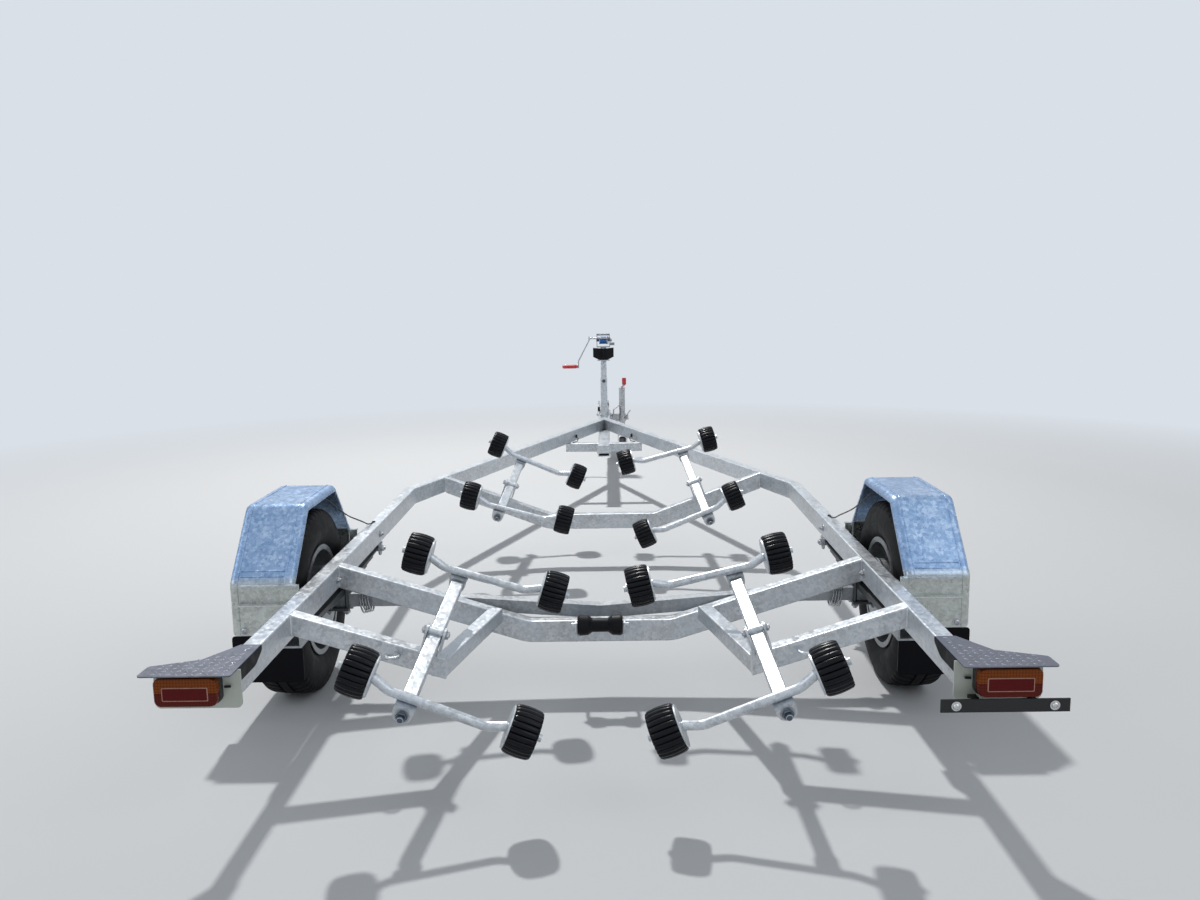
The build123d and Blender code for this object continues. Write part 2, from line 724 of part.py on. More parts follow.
def wheel():
    """Steel rim, pierced disc, drum, hub and cap, spun about the spindle."""
    half = RIM_W / 2
    bore = SPINDLE_R + FIT
    drum_in = AXLE_END + 12 - TYRE_AT
    lip = RIM_R + RIM_LIP
    seat = RIM_R - RIM_T
    web_out = WEB_IN + WEB_T
    bore_end = SPINDLE_END + 2 - TYRE_AT
    profile = [
        (drum_in, bore),
        (drum_in, DRUM_R),
        (-DRUM_FACE_IN, DRUM_R),
        (-DRUM_FACE_IN, DRUM_R + 5),
        (WEB_IN, WEB_EDGE_R),
        (WEB_IN, seat),
        (-half, seat),
        (-half, lip),
        (-half + RIM_LIP_T, lip),
        (-half + RIM_LIP_T, RIM_R),
        (half - RIM_LIP_T, RIM_R),
        (half - RIM_LIP_T, lip),
        (half, lip),
        (half, seat),
        (web_out, seat),
        (web_out, WEB_EDGE_R - 2),
        (WEB_RIDGE_OUT, WEB_RIDGE_R),
        (WEB_SEAT_OUT, WEB_SEAT_R),
        (WEB_SEAT_OUT, HUB_R),
        (CAP_OUT - 4, CAP_R),
        (CAP_OUT, CAP_R - 6),
        (CAP_OUT, 0),
        (bore_end, 0),
        (bore_end, bore),
    ]
    shape = spun_x([(TYRE_AT + x, r) for x, r in profile], 0, WHEEL_Z)
    for i in range(HAND_HOLES):
        angle = 2 * math.pi * i / HAND_HOLES
        y = HAND_HOLE_AT * math.cos(angle)
        z = WHEEL_Z + HAND_HOLE_AT * math.sin(angle)
        shape -= rod_x(TYRE_AT - DRUM_FACE_IN + 1, TYRE_AT + 2 * WEB_RIDGE_OUT, y, z, HAND_HOLE_R)
    return shape


def axle():
    """Square beam with a slight V, brake back plates and spindles."""
    half = AXLE_W / 2
    top = WHEEL_Z + half
    tilt = math.atan(AXLE_DROP / AXLE_LEVEL_FROM)
    under = AXLE_W * math.tan(tilt / 2)
    right = [
        (AXLE_LEVEL_FROM, top),
        (AXLE_END, top),
        (AXLE_END, top - AXLE_W),
        (AXLE_LEVEL_FROM + under, top - AXLE_W),
    ]
    left = [(-x, z) for x, z in reversed(right)]
    outline = [(0, top - AXLE_DROP)] + right + [(0, top - AXLE_DROP - AXLE_W / math.cos(tilt))] + left
    shape = prism_y(outline, -half, half)
    for side in (-1, 1):
        shape += rod_x(side * (AXLE_END - 1), side * SPINDLE_END, 0, WHEEL_Z, SPINDLE_R)
        shape += rod_x(side * (AXLE_END - 1), side * (AXLE_END + 5), 0, WHEEL_Z, DRUM_R + 3)
    return shape


def leaf(reach, level):
    """One leaf's outline, an arc of the pack's common sag, as a prism."""
    curve = SPRING_HALF ** 2 / (2 * SPRING_SAG)
    sag = curve - math.sqrt(curve ** 2 - reach ** 2)
    x0 = SPRING_X - SPRING_W / 2
    plane = Plane(origin=(x0, SHIFT, 0), x_dir=(0, 1, 0), z_dir=(1, 0, 0))
    lower = Edge.make_three_point_arc((-reach, level + sag, 0), (0, level, 0), (reach, level + sag, 0))
    upper = Edge.make_three_point_arc(
        (-reach, level + sag + LEAF_T, 0), (0, level + LEAF_T, 0), (reach, level + sag + LEAF_T, 0))
    ends = [Edge.make_line((y, level + sag, 0), (y, level + sag + LEAF_T, 0)) for y in (-reach, reach)]
    face = plane * Face(Wire([lower, upper] + ends))
    return extrude(face, amount=SPRING_W, dir=(1, 0, 0))


def spring():
    """Right leaf pack on the axle, with its front eye, clamp plate and U-bolts."""
    base = WHEEL_Z + AXLE_W / 2
    overlap = 0.3
    pack = None
    for i in range(LEAF_COUNT):
        reach = SPRING_HALF * (1 - LEAF_STEP * (LEAF_COUNT - 1 - i))
        one = leaf(reach, base + i * (LEAF_T - overlap))
        pack = one if pack is None else pack + one
    main = base + (LEAF_COUNT - 1) * (LEAF_T - overlap)
    x0 = SPRING_X - SPRING_W / 2
    x1 = SPRING_X + SPRING_W / 2
    eye_z = main + SPRING_SAG
    pack += rod_x(x0, x1, SPRING_HALF + EYE_R - 3, eye_z, EYE_R)
    pack -= rod_x(x0 - 1, x1 + 1, SPRING_HALF + EYE_R - 3, eye_z, PIVOT_R + FIT)
    clamp_z = main + LEAF_T
    pack += block(x0 - 16, x1 + 16, -U_BOLT_AT - 16, U_BOLT_AT + 16, clamp_z, clamp_z + 7)
    foot = WHEEL_Z - AXLE_W / 2
    pack += block(x0 - 16, x1 + 16, -U_BOLT_AT - 16, U_BOLT_AT + 16, foot - 8, foot)
    for y in (-U_BOLT_AT, U_BOLT_AT):
        for x in (x0 - U_BOLT_R - 1, x1 + U_BOLT_R + 1):
            pack += rod_z(x, y, foot - 22, clamp_z + 14, U_BOLT_R)
            pack += rod_z(x, y, clamp_z + 6, clamp_z + 15, U_BOLT_R + 4)
            pack += rod_z(x, y, foot - 17, foot - 7, U_BOLT_R + 4)
    return pack


def spring_hangers():
    """Right front hanger with its eye bolt, and the right rear box that the main leaf slides in."""
    x0 = SPRING_X - SPRING_W / 2 - HANGER_T
    x1 = SPRING_X + SPRING_W / 2 + HANGER_T
    eye_y = SPRING_HALF + EYE_R - 3
    eye_z = WHEEL_Z + AXLE_W / 2 + (LEAF_COUNT - 1) * (LEAF_T - 0.3) + SPRING_SAG
    side = [
        (eye_y - 30, RAIL_LOW),
        (eye_y + 34, RAIL_LOW),
        (eye_y + 18, HANGER_LOW + 4, 14),
        (eye_y - 18, HANGER_LOW + 4, 14),
    ]
    gap = 0.4
    front = rod_x(x0 - 8, x1 + 8, eye_y, eye_z, PIVOT_R)
    front += prism_x(side, x0, x0 + HANGER_T - gap)
    front += prism_x(side, x1 - HANGER_T + gap, x1)
    back_y = -SPRING_HALF + 5
    box = block(x0, x1, back_y - 45, back_y + 45, HANGER_LOW, RAIL_LOW)
    main_top = WHEEL_Z + AXLE_W / 2 + LEAF_COUNT * LEAF_T + SPRING_SAG
    box -= block(x0 + HANGER_T - gap, x1 - HANGER_T + gap, back_y - 46, back_y + 46,
                 HANGER_LOW + 6, main_top + 4)
    return front, box


# Mudguards


def guard_path(inset, foot):
    """Corners of the folded mudguard as (station, height, radius), moved in by a distance."""
    lean = math.atan2(GUARD_TOP - GUARD_KNEE, GUARD_HALF - GUARD_TOP_HALF)
    top_shift = inset * math.tan(lean / 2)
    knee_shift = inset * math.tan((math.pi / 2 - lean) / 2)
    radius = GUARD_FOLD_R - inset
    half = GUARD_HALF - inset
    right = [
        (GUARD_TOP_HALF - top_shift, GUARD_TOP - inset, radius),
        (half, GUARD_KNEE - knee_shift, radius),
        (half, foot),
    ]
    left = [(-corner[0],) + tuple(corner[1:]) for corner in reversed(right)]
    return left + right


def guard_block(inset, foot):
    """Solid bounded by the mudguard's skin, with rolled side edges, moved in by a distance."""
    shape = prism_x(guard_path(inset, foot), GUARD_IN + inset, GUARD_OUT - inset)
    sides = shape.faces().filter_by(Axis.X)
    edges = [edge for face in sides for edge in face.edges() if edge.center().Z > foot + 1]
    return fillet(edges, GUARD_ROLL_R - inset)


def guard_stay(end):
    """Channel across the mudguard's lower face and the ear that bolts it to the rail."""
    face = end * GUARD_HALF
    web = end * (GUARD_HALF + GUARD_STAY_T)
    lip = end * (GUARD_HALF + GUARD_STAY_LIP)
    ear = end * (GUARD_HALF - 45)
    low = GUARD_STAY_TOP - GUARD_STAY_H
    channel = [
        (face, low),
        (lip, low),
        (lip, low + GUARD_STAY_T),
        (web, low + GUARD_STAY_T),
        (web, GUARD_STAY_TOP - GUARD_STAY_T),
        (lip, GUARD_STAY_TOP - GUARD_STAY_T),
        (lip, GUARD_STAY_TOP),
        (face, GUARD_STAY_TOP),
    ]
    plate = block(RAIL_OUT, RAIL_OUT + GUARD_STAY_T, ear, web, RAIL_TOP - 60, RAIL_TOP - TUBE_EDGE_R)
    return prism_x(channel, RAIL_OUT, GUARD_STAY_OUT) + plate


def mudguard():
    """Right mudguard: folded skin with rolled edges, and the stays that carry it on the rail."""
    below = GUARD_FOOT - 10
    shape = guard_block(0, GUARD_FOOT) - guard_block(GUARD_T, below)
    shape -= prism_x(guard_path(GUARD_LIP, below), GUARD_IN - 1, GUARD_OUT + 1)
    front_view = [
        (GUARD_IN, GUARD_FOOT, GUARD_CORNER_R),
        (GUARD_OUT, GUARD_FOOT, GUARD_CORNER_R),
        (GUARD_OUT, GUARD_TOP + 1),
        (GUARD_IN, GUARD_TOP + 1),
    ]
    shape &= prism_y(front_view, -GUARD_HALF - 1, GUARD_HALF + 1)
    return shape + guard_stay(-1) + guard_stay(1)


def mud_flap():
    """Right mud flap, hung inside the mudguard's back and narrower between its rolled edges."""
    back = -GUARD_HALF + GUARD_T
    neck_in = GUARD_IN + GUARD_ROLL_R + 1
    neck_out = GUARD_OUT - GUARD_ROLL_R - 1
    ledge = GUARD_FOOT - 3
    corners = [
        (neck_in, FLAP_TOP),
        (neck_out, FLAP_TOP),
        (neck_out, ledge),
        (FLAP_OUT, ledge, 8),
        (FLAP_OUT, FLAP_FOOT, 12),
        (FLAP_IN, FLAP_FOOT, 12),
        (FLAP_IN, ledge, 8),
        (neck_in, ledge),
    ]
    return prism_y(corners, back, back + FLAP_T)


def wire():
    """Right lamp lead, hanging from the rail's top to the underside of the mudguard."""
    on_rail = RAIL_TOP + WIRE_R
    under_guard = GUARD_TOP - GUARD_T - WIRE_R
    rise = under_guard - on_rail
    inside = GUARD_IN - 11
    route = [
        (RAIL_OUT - 17, station(GUARD_HALF + 198), on_rail),
        (RAIL_OUT - 15, station(GUARD_HALF + 138), on_rail),
        (RAIL_OUT - 8, station(GUARD_HALF + 75), on_rail + 0.124 * rise),
        (inside - 3, station(GUARD_HALF + 8), on_rail + 0.246 * rise),
        (inside, station(GUARD_HALF - 59), on_rail + 0.354 * rise),
        (inside + 1, station(GUARD_HALF - 124), on_rail + 0.471 * rise),
        (inside + 2, station(GUARD_HALF - 187), on_rail + 0.601 * rise),
        (inside + 6, station(GUARD_HALF - 249), on_rail + 0.748 * rise),
        (inside + 16, station(GUARD_HALF - 304), on_rail + 0.894 * rise),
        (GUARD_IN + 30, station(GUARD_HALF - 350), under_guard),
        (GUARD_IN + 32, station(GUARD_HALF - 410), under_guard),
    ]
    return cord(route, WIRE_R)


# Tail


def lamp_plate():
    corners = [
        (LAMP_PLATE_IN, RAIL_TOP),
        (LAMP_PLATE_OUT, RAIL_TOP),
        (LAMP_PLATE_OUT, LAMP_PLATE_LOW, 14),
        (LAMP_PLATE_IN, LAMP_PLATE_LOW, 14),
    ]
    return prism_y(corners, TAIL - PLATE_T, TAIL)


def tail_lamp():
    """Lamp with a black base and a rounded lens."""
    half = LAMP_W / 2
    back = TAIL - PLATE_T
    rim = [
        (LAMP_X - half, LAMP_Z - LAMP_H / 2, 8),
        (LAMP_X + half, LAMP_Z - LAMP_H / 2, 8),
        (LAMP_X + half, LAMP_Z + LAMP_H / 2, 8),
        (LAMP_X - half, LAMP_Z + LAMP_H / 2, 8),
    ]
    base = prism_y(rim, back - 14, back)
    inset = 3.0
    lens_corners = [(x + math.copysign(inset, LAMP_X - x), z + math.copysign(inset, LAMP_Z - z), r)
                    for x, z, r in rim]
    return base + prism_y(lens_corners, back - LAMP_D, back - 14)


def lamp_guard():
    """Plate over the lamp, folded down over the rail's inner face."""
    inner = RAIL_IN - GUARD_PLATE_T
    outline = [
        (inner, LAMP_GUARD_BACK, 6),
        (LAMP_GUARD_OUT, LAMP_GUARD_BACK, 10),
        (LAMP_GUARD_OUT, TAIL + 15, 10),
        (RAIL_OUT + 60, TAIL + 60, 20),
        (RAIL_OUT, TAIL + 166),
        (inner, TAIL + 166),
    ]
    top = prism_z(outline, RAIL_TOP, RAIL_TOP + GUARD_PLATE_T)
    flap = [
        (TAIL, RAIL_TOP + 1),
        (TAIL, RAIL_TOP - 34),
        (TAIL + 110, RAIL_TOP - 34, 12),
        (TAIL + 166, RAIL_TOP - 10, 8),
        (TAIL + 166, RAIL_TOP + 1),
    ]
    return top + prism_x(flap, inner, RAIL_IN)


def plate_strip():
    """Strip that a number plate is bolted to, under the right lamp, on two tabs."""
    face = TAIL - PLATE_T - LAMP_D
    back = TAIL - PLATE_T
    half = STRIP_W / 2
    shape = block(STRIP_AT - half, STRIP_AT + half, face, face + STRIP_T, STRIP_LOW, STRIP_HIGH)
    for middle in (STRIP_AT - STRIP_TAB_AT, STRIP_AT + STRIP_TAB_AT):
        x0 = middle - STRIP_TAB_W / 2
        x1 = middle + STRIP_TAB_W / 2
        shape += block(x0, x1, face, back, STRIP_HIGH - 6, STRIP_HIGH - 3)
        shape += block(x0, x1, back - 3, back, LAMP_PLATE_LOW + 4, STRIP_HIGH - 3)
    return shape


# Winch post, bow block and winch


def winch_post():
    """Square post in two sizes, with its foot plate, side cheeks and the bow block's bracket."""
    half = POST_W / 2
    inner = POST_INNER_W / 2
    outer_tube = block(-half, half, POST_AT - half, POST_AT + half, DRAWBAR_TOP, POST_TOP)
    inner_tube = block(-inner, inner, POST_AT - inner, POST_AT + inner, POST_TOP - 10, POST_INNER_TOP)
    shape = fillet(outer_tube.edges().filter_by(Axis.Z), TUBE_EDGE_R)
    shape += fillet(inner_tube.edges().filter_by(Axis.Z), TUBE_EDGE_R - 1)
    reach = DRAWBAR_W / 2
    shape += block(-reach - CHEEK_T, reach + CHEEK_T, POST_AT - 70, POST_AT + 70,
                   DRAWBAR_TOP, DRAWBAR_TOP + POST_FOOT_T)
    cheek = [
        (POST_AT - 70, DRAWBAR_TOP - 50, 10),
        (POST_AT + 70, DRAWBAR_TOP - 50, 10),
        (POST_AT + 70, DRAWBAR_TOP + 20),
        (POST_AT + 26, CHEEK_TOP, 14),
        (POST_AT - 26, CHEEK_TOP, 14),
        (POST_AT - 70, DRAWBAR_TOP + 20),
    ]
    for x0 in (-reach - CHEEK_T, reach):
        shape += prism_x(cheek, x0, x0 + CHEEK_T)
    shape += rod_x(-reach - CHEEK_T - 8, reach + CHEEK_T + 8, POST_AT, CHEEK_TOP - 24, 7)
    bracket = [
        (POST_AT - inner, BOW_BLOCK_LOW - 34),
        (POST_AT - inner, BOW_BLOCK_LOW),
        (POST_AT - inner - BOW_BLOCK_D + 22, BOW_BLOCK_LOW),
        (POST_AT - inner - BOW_BLOCK_D + 22, BOW_BLOCK_LOW - 6),
    ]
    shape += prism_x(bracket, -4, 4)
    shape += block(-46, 46, POST_AT - inner - 16, POST_AT - inner, BOW_BLOCK_LOW - 8, BOW_BLOCK_LOW)
    return shape


def bow_block():
    """Rubber V block that the boat's bow rests in, pointed below."""
    half = BOW_BLOCK_W / 2
    face = POST_AT - POST_INNER_W / 2
    back = face - BOW_BLOCK_D
    notch = [(-half, back), (0, back + 50, 14), (half, back), (half, face - 18), (40, face), (-40, face),
             (-half, face - 18)]
    shape = prism_z(notch, BOW_BLOCK_LOW, BOW_BLOCK_TOP)
    elevation = [
        (-half, BOW_BLOCK_TOP),
        (0, BOW_BLOCK_TOP - 9),
        (half, BOW_BLOCK_TOP),
        (half, BOW_BLOCK_LOW + 25),
        (30, BOW_BLOCK_LOW),
        (-30, BOW_BLOCK_LOW),
        (-half, BOW_BLOCK_LOW + 25),
    ]
    return shape & prism_y(elevation, back - 1, face + 1)


def winch_frame():
    """Folded frame on the post's top: floor, two cheeks, tie bar and ratchet lever."""
    half = WINCH_W / 2
    floor_z = POST_INNER_TOP
    back = POST_AT - WINCH_BACK
    front = POST_AT + WINCH_FRONT
    shape = block(-half, half, back, front, floor_z, floor_z + WINCH_PLATE_T)
    cheek = [
        (back, floor_z),
        (front, floor_z),
        (front, floor_z + 40, 14),
        (POST_AT + 22, WINCH_TOP, 16),
        (back, WINCH_TOP, 10),
    ]
    for side in (-1, 1):
        x0 = side * half
        x1 = side * (half - WINCH_PLATE_T)
        plate = prism_x(cheek, min(x0, x1), max(x0, x1))
        plate -= rod_x(side * (half - 8), side * (half + 8), POST_AT, DRUM_Z, WINCH_SHAFT_R + FIT)
        plate -= rod_x(side * (half - 8), side * (half + 8), CRANK_AT, CRANK_Z, CRANK_SHAFT_R + FIT)
        shape += plate
    shape += rod_x(-half, half, back + 10, WINCH_TOP - 9, 7)
    lever = [(CRANK_AT - 8, floor_z + 14), (CRANK_AT + 12, floor_z + 14), (CRANK_AT + 6, floor_z + 34, 6),
             (CRANK_AT - 4, floor_z + 34)]
    return shape + prism_x(lever, half, half + 34)


def winch_drum():
    half = WINCH_W / 2
    drum = rod_x(-half - 3, half + 3, POST_AT, DRUM_Z, WINCH_SHAFT_R)
    drum += rod_x(-STRAP_W / 2, STRAP_W / 2, POST_AT, DRUM_Z, STRAP_ROLL_R)
    for side in (-1, 1):
        x0 = side * STRAP_W / 2
        drum += rod_x(x0, x0 + side * 4, POST_AT, DRUM_Z, STRAP_ROLL_R + 2)
    return drum


def winch_crank():
    """Crank shaft, slanted flat arm and long grip on the left."""
    half = WINCH_W / 2
    shaft_end = -half - 60
    foot = shaft_end - CRANK_OUT
    grip_z = CRANK_Z - CRANK_DROP
    shape = rod_x(shaft_end, half + 3, CRANK_AT, CRANK_Z, CRANK_SHAFT_R)
    arm = [
        (shaft_end + 8, CRANK_Z + 13, 3),
        (shaft_end + 8, CRANK_Z - 16, 6),
        (foot + 8, CRANK_Z - CRANK_DROP * 0.82, 12),
        (foot + 8, grip_z - 12, 3),
        (foot, grip_z - 12, 3),
        (foot, CRANK_Z - CRANK_DROP * 0.8, 12),
        (shaft_end, CRANK_Z - 14, 6),
        (shaft_end, CRANK_Z + 13, 3),
    ]
    shape += prism_y(arm, CRANK_AT - 12, CRANK_AT + 12)
    grip = [(foot, 0), (foot, 9), (foot - 10, GRIP_R - 3), (foot - GRIP_L + 10, GRIP_R),
            (foot - GRIP_L, GRIP_R - 5), (foot - GRIP_L, 0)]
    return shape + spun_x(grip, CRANK_AT, grip_z)


# Coupling and jockey wheel


def ball_socket():
    """Space for the tow ball: a straight mouth under a domed roof."""
    with BuildSketch(Plane.XZ) as profile:
        with BuildLine():
            Line((0, -42), (BALL_R, -42))
            Line((BALL_R, -42), (BALL_R, 0))
            ThreePointArc((BALL_R, 0), (BALL_R * math.sqrt(0.5), BALL_R * math.sqrt(0.5)), (0, BALL_R))
            Line((0, BALL_R), (0, -42))
        make_face()
    return Pos(0, station(BALL_AT), DRAWBAR_TOP + 12) * revolve(profile.sketch, Axis.Z, 360)


def coupling():
    """Pressed ball coupling on an overrun brake housing, with rubber bellows and hand brake."""
    half = DRAWBAR_W / 2
    z = DRAWBAR_TOP + COUPLING_UP
    housing_back = DRAWBAR_FRONT - 250
    housing_front = DRAWBAR_FRONT - 10
    foot = half + 6
    section = [
        (-foot, DRAWBAR_TOP),
        (foot, DRAWBAR_TOP),
        (foot, DRAWBAR_TOP + 10, 4),
        (COUPLING_R + 6, DRAWBAR_TOP + 20, 8),
        (COUPLING_R + 6, z + COUPLING_R, 20),
        (-COUPLING_R - 6, z + COUPLING_R, 20),
        (-COUPLING_R - 6, DRAWBAR_TOP + 20, 8),
        (-foot, DRAWBAR_TOP + 10, 4),
    ]
    shape = prism_y(section, housing_back, housing_front)
    head_back = BALL_AT - 120
    shape += rod_y(0, housing_front - 1, head_back + 20, z, COUPLING_R - 4)
    pitch = (head_back - 20 - housing_front) / BELLOWS_RINGS
    for i in range(BELLOWS_RINGS):
        middle = housing_front + (i + 0.5) * pitch
        shape += rod_y(0, middle - pitch * 0.3, middle + pitch * 0.3, z, COUPLING_R + 3)
    outline = [
        (-32, head_back - 20, 8),
        (32, head_back - 20, 8),
        (36, BALL_AT - 20, 10),
        (36, COUPLING_NOSE, 30),
        (-36, COUPLING_NOSE, 30),
        (-36, BALL_AT - 20, 10),
    ]
    side = [
        (head_back - 20, z - 26),
        (COUPLING_NOSE, DRAWBAR_TOP - 4),
        (COUPLING_NOSE, DRAWBAR_TOP + 40, 26),
        (BALL_AT - 60, z + 30, 10),
        (head_back - 20, z + 26, 8),
    ]
    shape += prism_z(outline, DRAWBAR_TOP - 20, z + 60) & prism_x(side, -60, 60)
    handle = [
        (BALL_AT - 74, z + 20),
        (BALL_AT - 40, z + 20),
        (BALL_AT - 26, z + 44, 8),
        (BALL_AT + 34, z + 58, 3),
        (BALL_AT + 34, z + 68, 3),
        (BALL_AT - 50, z + 62, 12),
    ]
    shape += prism_x(handle, -16, 16)
    lever = [
        (LEVER_X, station(housing_back + 40), DRAWBAR_TOP + 10),
        (LEVER_X, station(housing_back + 40), DRAWBAR_TOP + 66),
        (LEVER_X, station(housing_back + 110), DRAWBAR_TOP + 100),
    ]
    shape += bent_tube(lever, 7, 25)
    shape += rod_x(-foot - 6, -foot + 8, housing_back + 40, DRAWBAR_TOP + 6, 5.5)
    return shape - ball_socket()


def jockey_clamp():
    """Bracket on the drawbar's side with the split collar and its T handle."""
    half = DRAWBAR_W / 2
    z = DRAWBAR_TOP - half
    plate = block(half, half + 8, JOCKEY_AT - 50, JOCKEY_AT + 50, z - 35, z + 35)
    collar = rod_z(JOCKEY_X, JOCKEY_AT, z - 30, z + 30, JOCKEY_TUBE_R + 8)
    collar += block(half + 8, JOCKEY_X, JOCKEY_AT - 20, JOCKEY_AT + 20, z - 30, z + 30)
    lug_x = JOCKEY_X + JOCKEY_TUBE_R + 2
    collar += block(lug_x, lug_x + 24, JOCKEY_AT - 14, JOCKEY_AT - 4, z - 18, z + 18)
    collar += block(lug_x, lug_x + 24, JOCKEY_AT + 4, JOCKEY_AT + 14, z - 18, z + 18)
    screw_x = lug_x + 15
    collar += rod_y(screw_x, JOCKEY_AT - 46, JOCKEY_AT + 20, z, 6)
    handle = [
        (screw_x, station(JOCKEY_AT - 42), z - 10),
        (screw_x, station(JOCKEY_AT - 42), z + 30),
        (screw_x + 26, station(JOCKEY_AT - 42), z + 64),
    ]
    collar += bent_tube(handle, 5, 20)
    return plate + collar - rod_z(JOCKEY_X, JOCKEY_AT, z - 40, z + 40, JOCKEY_TUBE_R)


def jockey_tube():
    """Outer tube, cap, and the winding crank with its upright knob."""
    y = JOCKEY_AT
    tube = rod_z(JOCKEY_X, y, JOCKEY_TUBE_FOOT, JOCKEY_TUBE_TOP, JOCKEY_TUBE_R)
    tube -= rod_z(JOCKEY_X, y, JOCKEY_TUBE_FOOT - 1, JOCKEY_TUBE_TOP - 20, JOCKEY_LEG_R + FIT)
    tube += rod_z(JOCKEY_X, y, JOCKEY_TUBE_TOP - 2, JOCKEY_TUBE_TOP + 4, JOCKEY_TUBE_R + 3)
    tube += rod_z(JOCKEY_X, y, JOCKEY_TUBE_TOP, JOCKEY_TUBE_TOP + 16, 8)
    knob_x = JOCKEY_X + 20
    knob_y = y + 110
    arm = [(JOCKEY_X - 11, y - 12, 10), (JOCKEY_X + 11, y - 12, 10), (knob_x + 9, knob_y + 11, 8),
           (knob_x - 9, knob_y + 11, 8)]
    tube += prism_z(arm, JOCKEY_TUBE_TOP + 10, JOCKEY_TUBE_TOP + 16)
    tube += rod_z(knob_x, knob_y, JOCKEY_TUBE_TOP + 14, JOCKEY_TUBE_TOP + 22, 6)
    return tube + rod_z(knob_x, knob_y, JOCKEY_TUBE_TOP + 20, KNOB_TOP, KNOB_R)


def jockey_leg():
    leg = rod_z(JOCKEY_X, JOCKEY_AT, JOCKEY_LEG_FOOT, JOCKEY_LEG_TOP, JOCKEY_LEG_R)
    return leg - rod_z(JOCKEY_X, JOCKEY_AT, JOCKEY_LEG_FOOT - 1, JOCKEY_LEG_FOOT + 34, SWIVEL_R + FIT)


def jockey_fork():
    """Fork with its swivel pin, trailing the wheel behind the leg."""
    y = JOCKEY_AT - JOCKEY_TRAIL
    z = JOCKEY_WHEEL_R
    inner = JOCKEY_WHEEL_W / 2 + 5
    low = FORK_TOP - FORK_T
    near = JOCKEY_X - inner - FORK_T
    far = JOCKEY_X + inner + FORK_T
    outline = [
        (near, y - 22, 10),
        (far, y - 22, 10),
        (far, JOCKEY_AT + 26, 16),
        (near, JOCKEY_AT + 26, 16),
    ]
    shape = prism_z(outline, low, FORK_TOP)
    shape += rod_z(JOCKEY_X, JOCKEY_AT, low, FORK_TOP + 29, SWIVEL_R)
    blade = [
        (y - 20, z - 18, 17),
        (y + 20, z - 18, 17),
        (JOCKEY_AT + 24, low + 1),
        (y - 10, low + 1),
    ]
    for x0 in (near, far - FORK_T):
        shape += prism_x(blade, x0, x0 + FORK_T)
    return shape + rod_x(near - 4, far + 4, y, z, JOCKEY_PIN_R)


def jockey_wheel():
    half = JOCKEY_WHEEL_W / 2
    bore = JOCKEY_PIN_R + FIT
    right = [
        (half, 12),
        (half, 26),
        (half - 12, 30),
        (half - 12, JOCKEY_WHEEL_R - 36),
        (half - 2, JOCKEY_WHEEL_R - 30),
        (half, JOCKEY_WHEEL_R - 14),
        (half - 10, JOCKEY_WHEEL_R - 2),
        (10, JOCKEY_WHEEL_R),
    ]
    left = [(-x, r) for x, r in reversed(right)]
    profile = [(-half, bore)] + [(half, bore)] + right + left
    return spun_x([(JOCKEY_X + x, r) for x, r in profile], JOCKEY_AT - JOCKEY_TRAIL, JOCKEY_WHEEL_R)


def cradle(beam, arm, roller):
    """Saves a walking beam with its two arms and four rollers."""
    save(walking_beam(beam), "beam_" + beam["name"])
    inward = Rot(0, 0, 180) if beam["side"] > 0 else Rot(0, 0, 0)
    for end, end_word in ((-1, "back"), (1, "fore")):
        place = arm_frame(beam, end) * inward
        name = beam["name"] + "_" + end_word
        save(place * arm, "arm_" + name)
        for tip, tip_word in ((-1, "outer"), (1, "inner")):
            centre = place * Pos(roller_place(tip), 0, ARM_END_UP)
            save(centre * roller, "roller_" + name + "_" + tip_word)


def build():
    os.makedirs("parts", exist_ok=True)
    right_rail = rail()
    save(mirror_x(right_rail), "rail_left")
    save(right_rail, "rail_right")
    save(drawbar(), "drawbar")

    cross_bend = dropped_cross(BEND_CROSS_BACK, BEND_CROSS_FLAT, BEND_CROSS_LOW)
    stub = rear_stub()
    rear = {1: stub, -1: mirror_x(stub)}
    for beam in BEAMS:
        if beam["at"] > 0:
            cross_bend += beam_bracket(beam)
        else:
            rear[beam["side"]] += beam_bracket(beam)
    save(cross_bend, "cross_bend")
    save(Compound(children=list(rear.values())), "cross_rear")
    save(dropped_cross(AXLE_CROSS_BACK, AXLE_CROSS_FLAT, AXLE_CROSS_LOW) + keel_carrier(), "cross_axle")
    save(keel_roller(), "keel_roller")

    save(axle(), "axle")
    save(both_sides(spring()), "springs")
    front_hanger, rear_hanger = spring_hangers()
    hangers = [front_hanger, rear_hanger, mirror_x(front_hanger), mirror_x(rear_hanger)]
    save(Compound(children=hangers), "spring_hangers")
    for side, word in ((1, "right"), (-1, "left")):
        for shape, name in ((tyre(), "tyre_"), (wheel(), "wheel_")):
            save(shape if side > 0 else mirror_x(shape), name + word)
    save(both_sides(mudguard()), "mudguards")
    save(both_sides(mud_flap()), "mud_flaps")
    save(both_sides(wire()), "wires")
    save(both_sides(lamp_plate()), "lamp_plates")
    save(both_sides(tail_lamp()), "tail_lamps")
    save(both_sides(lamp_guard()), "lamp_guards")
    save(plate_strip(), "plate_strip")

    arm = arm_shape()
    roller = roller_shape()
    for beam in BEAMS:
        cradle(beam, arm, roller)

    save(winch_post(), "winch_post")
    save(bow_block(), "bow_block")
    save(winch_frame(), "winch_frame")
    save(winch_drum(), "winch_drum")
    save(winch_crank(), "winch_crank")
    save(coupling(), "coupling")
    save(jockey_clamp(), "jockey_clamp")
    save(jockey_tube(), "jockey_tube")
    save(jockey_leg(), "jockey_leg")
    save(jockey_fork(), "jockey_fork")
    save(jockey_wheel(), "jockey_wheel")


build()
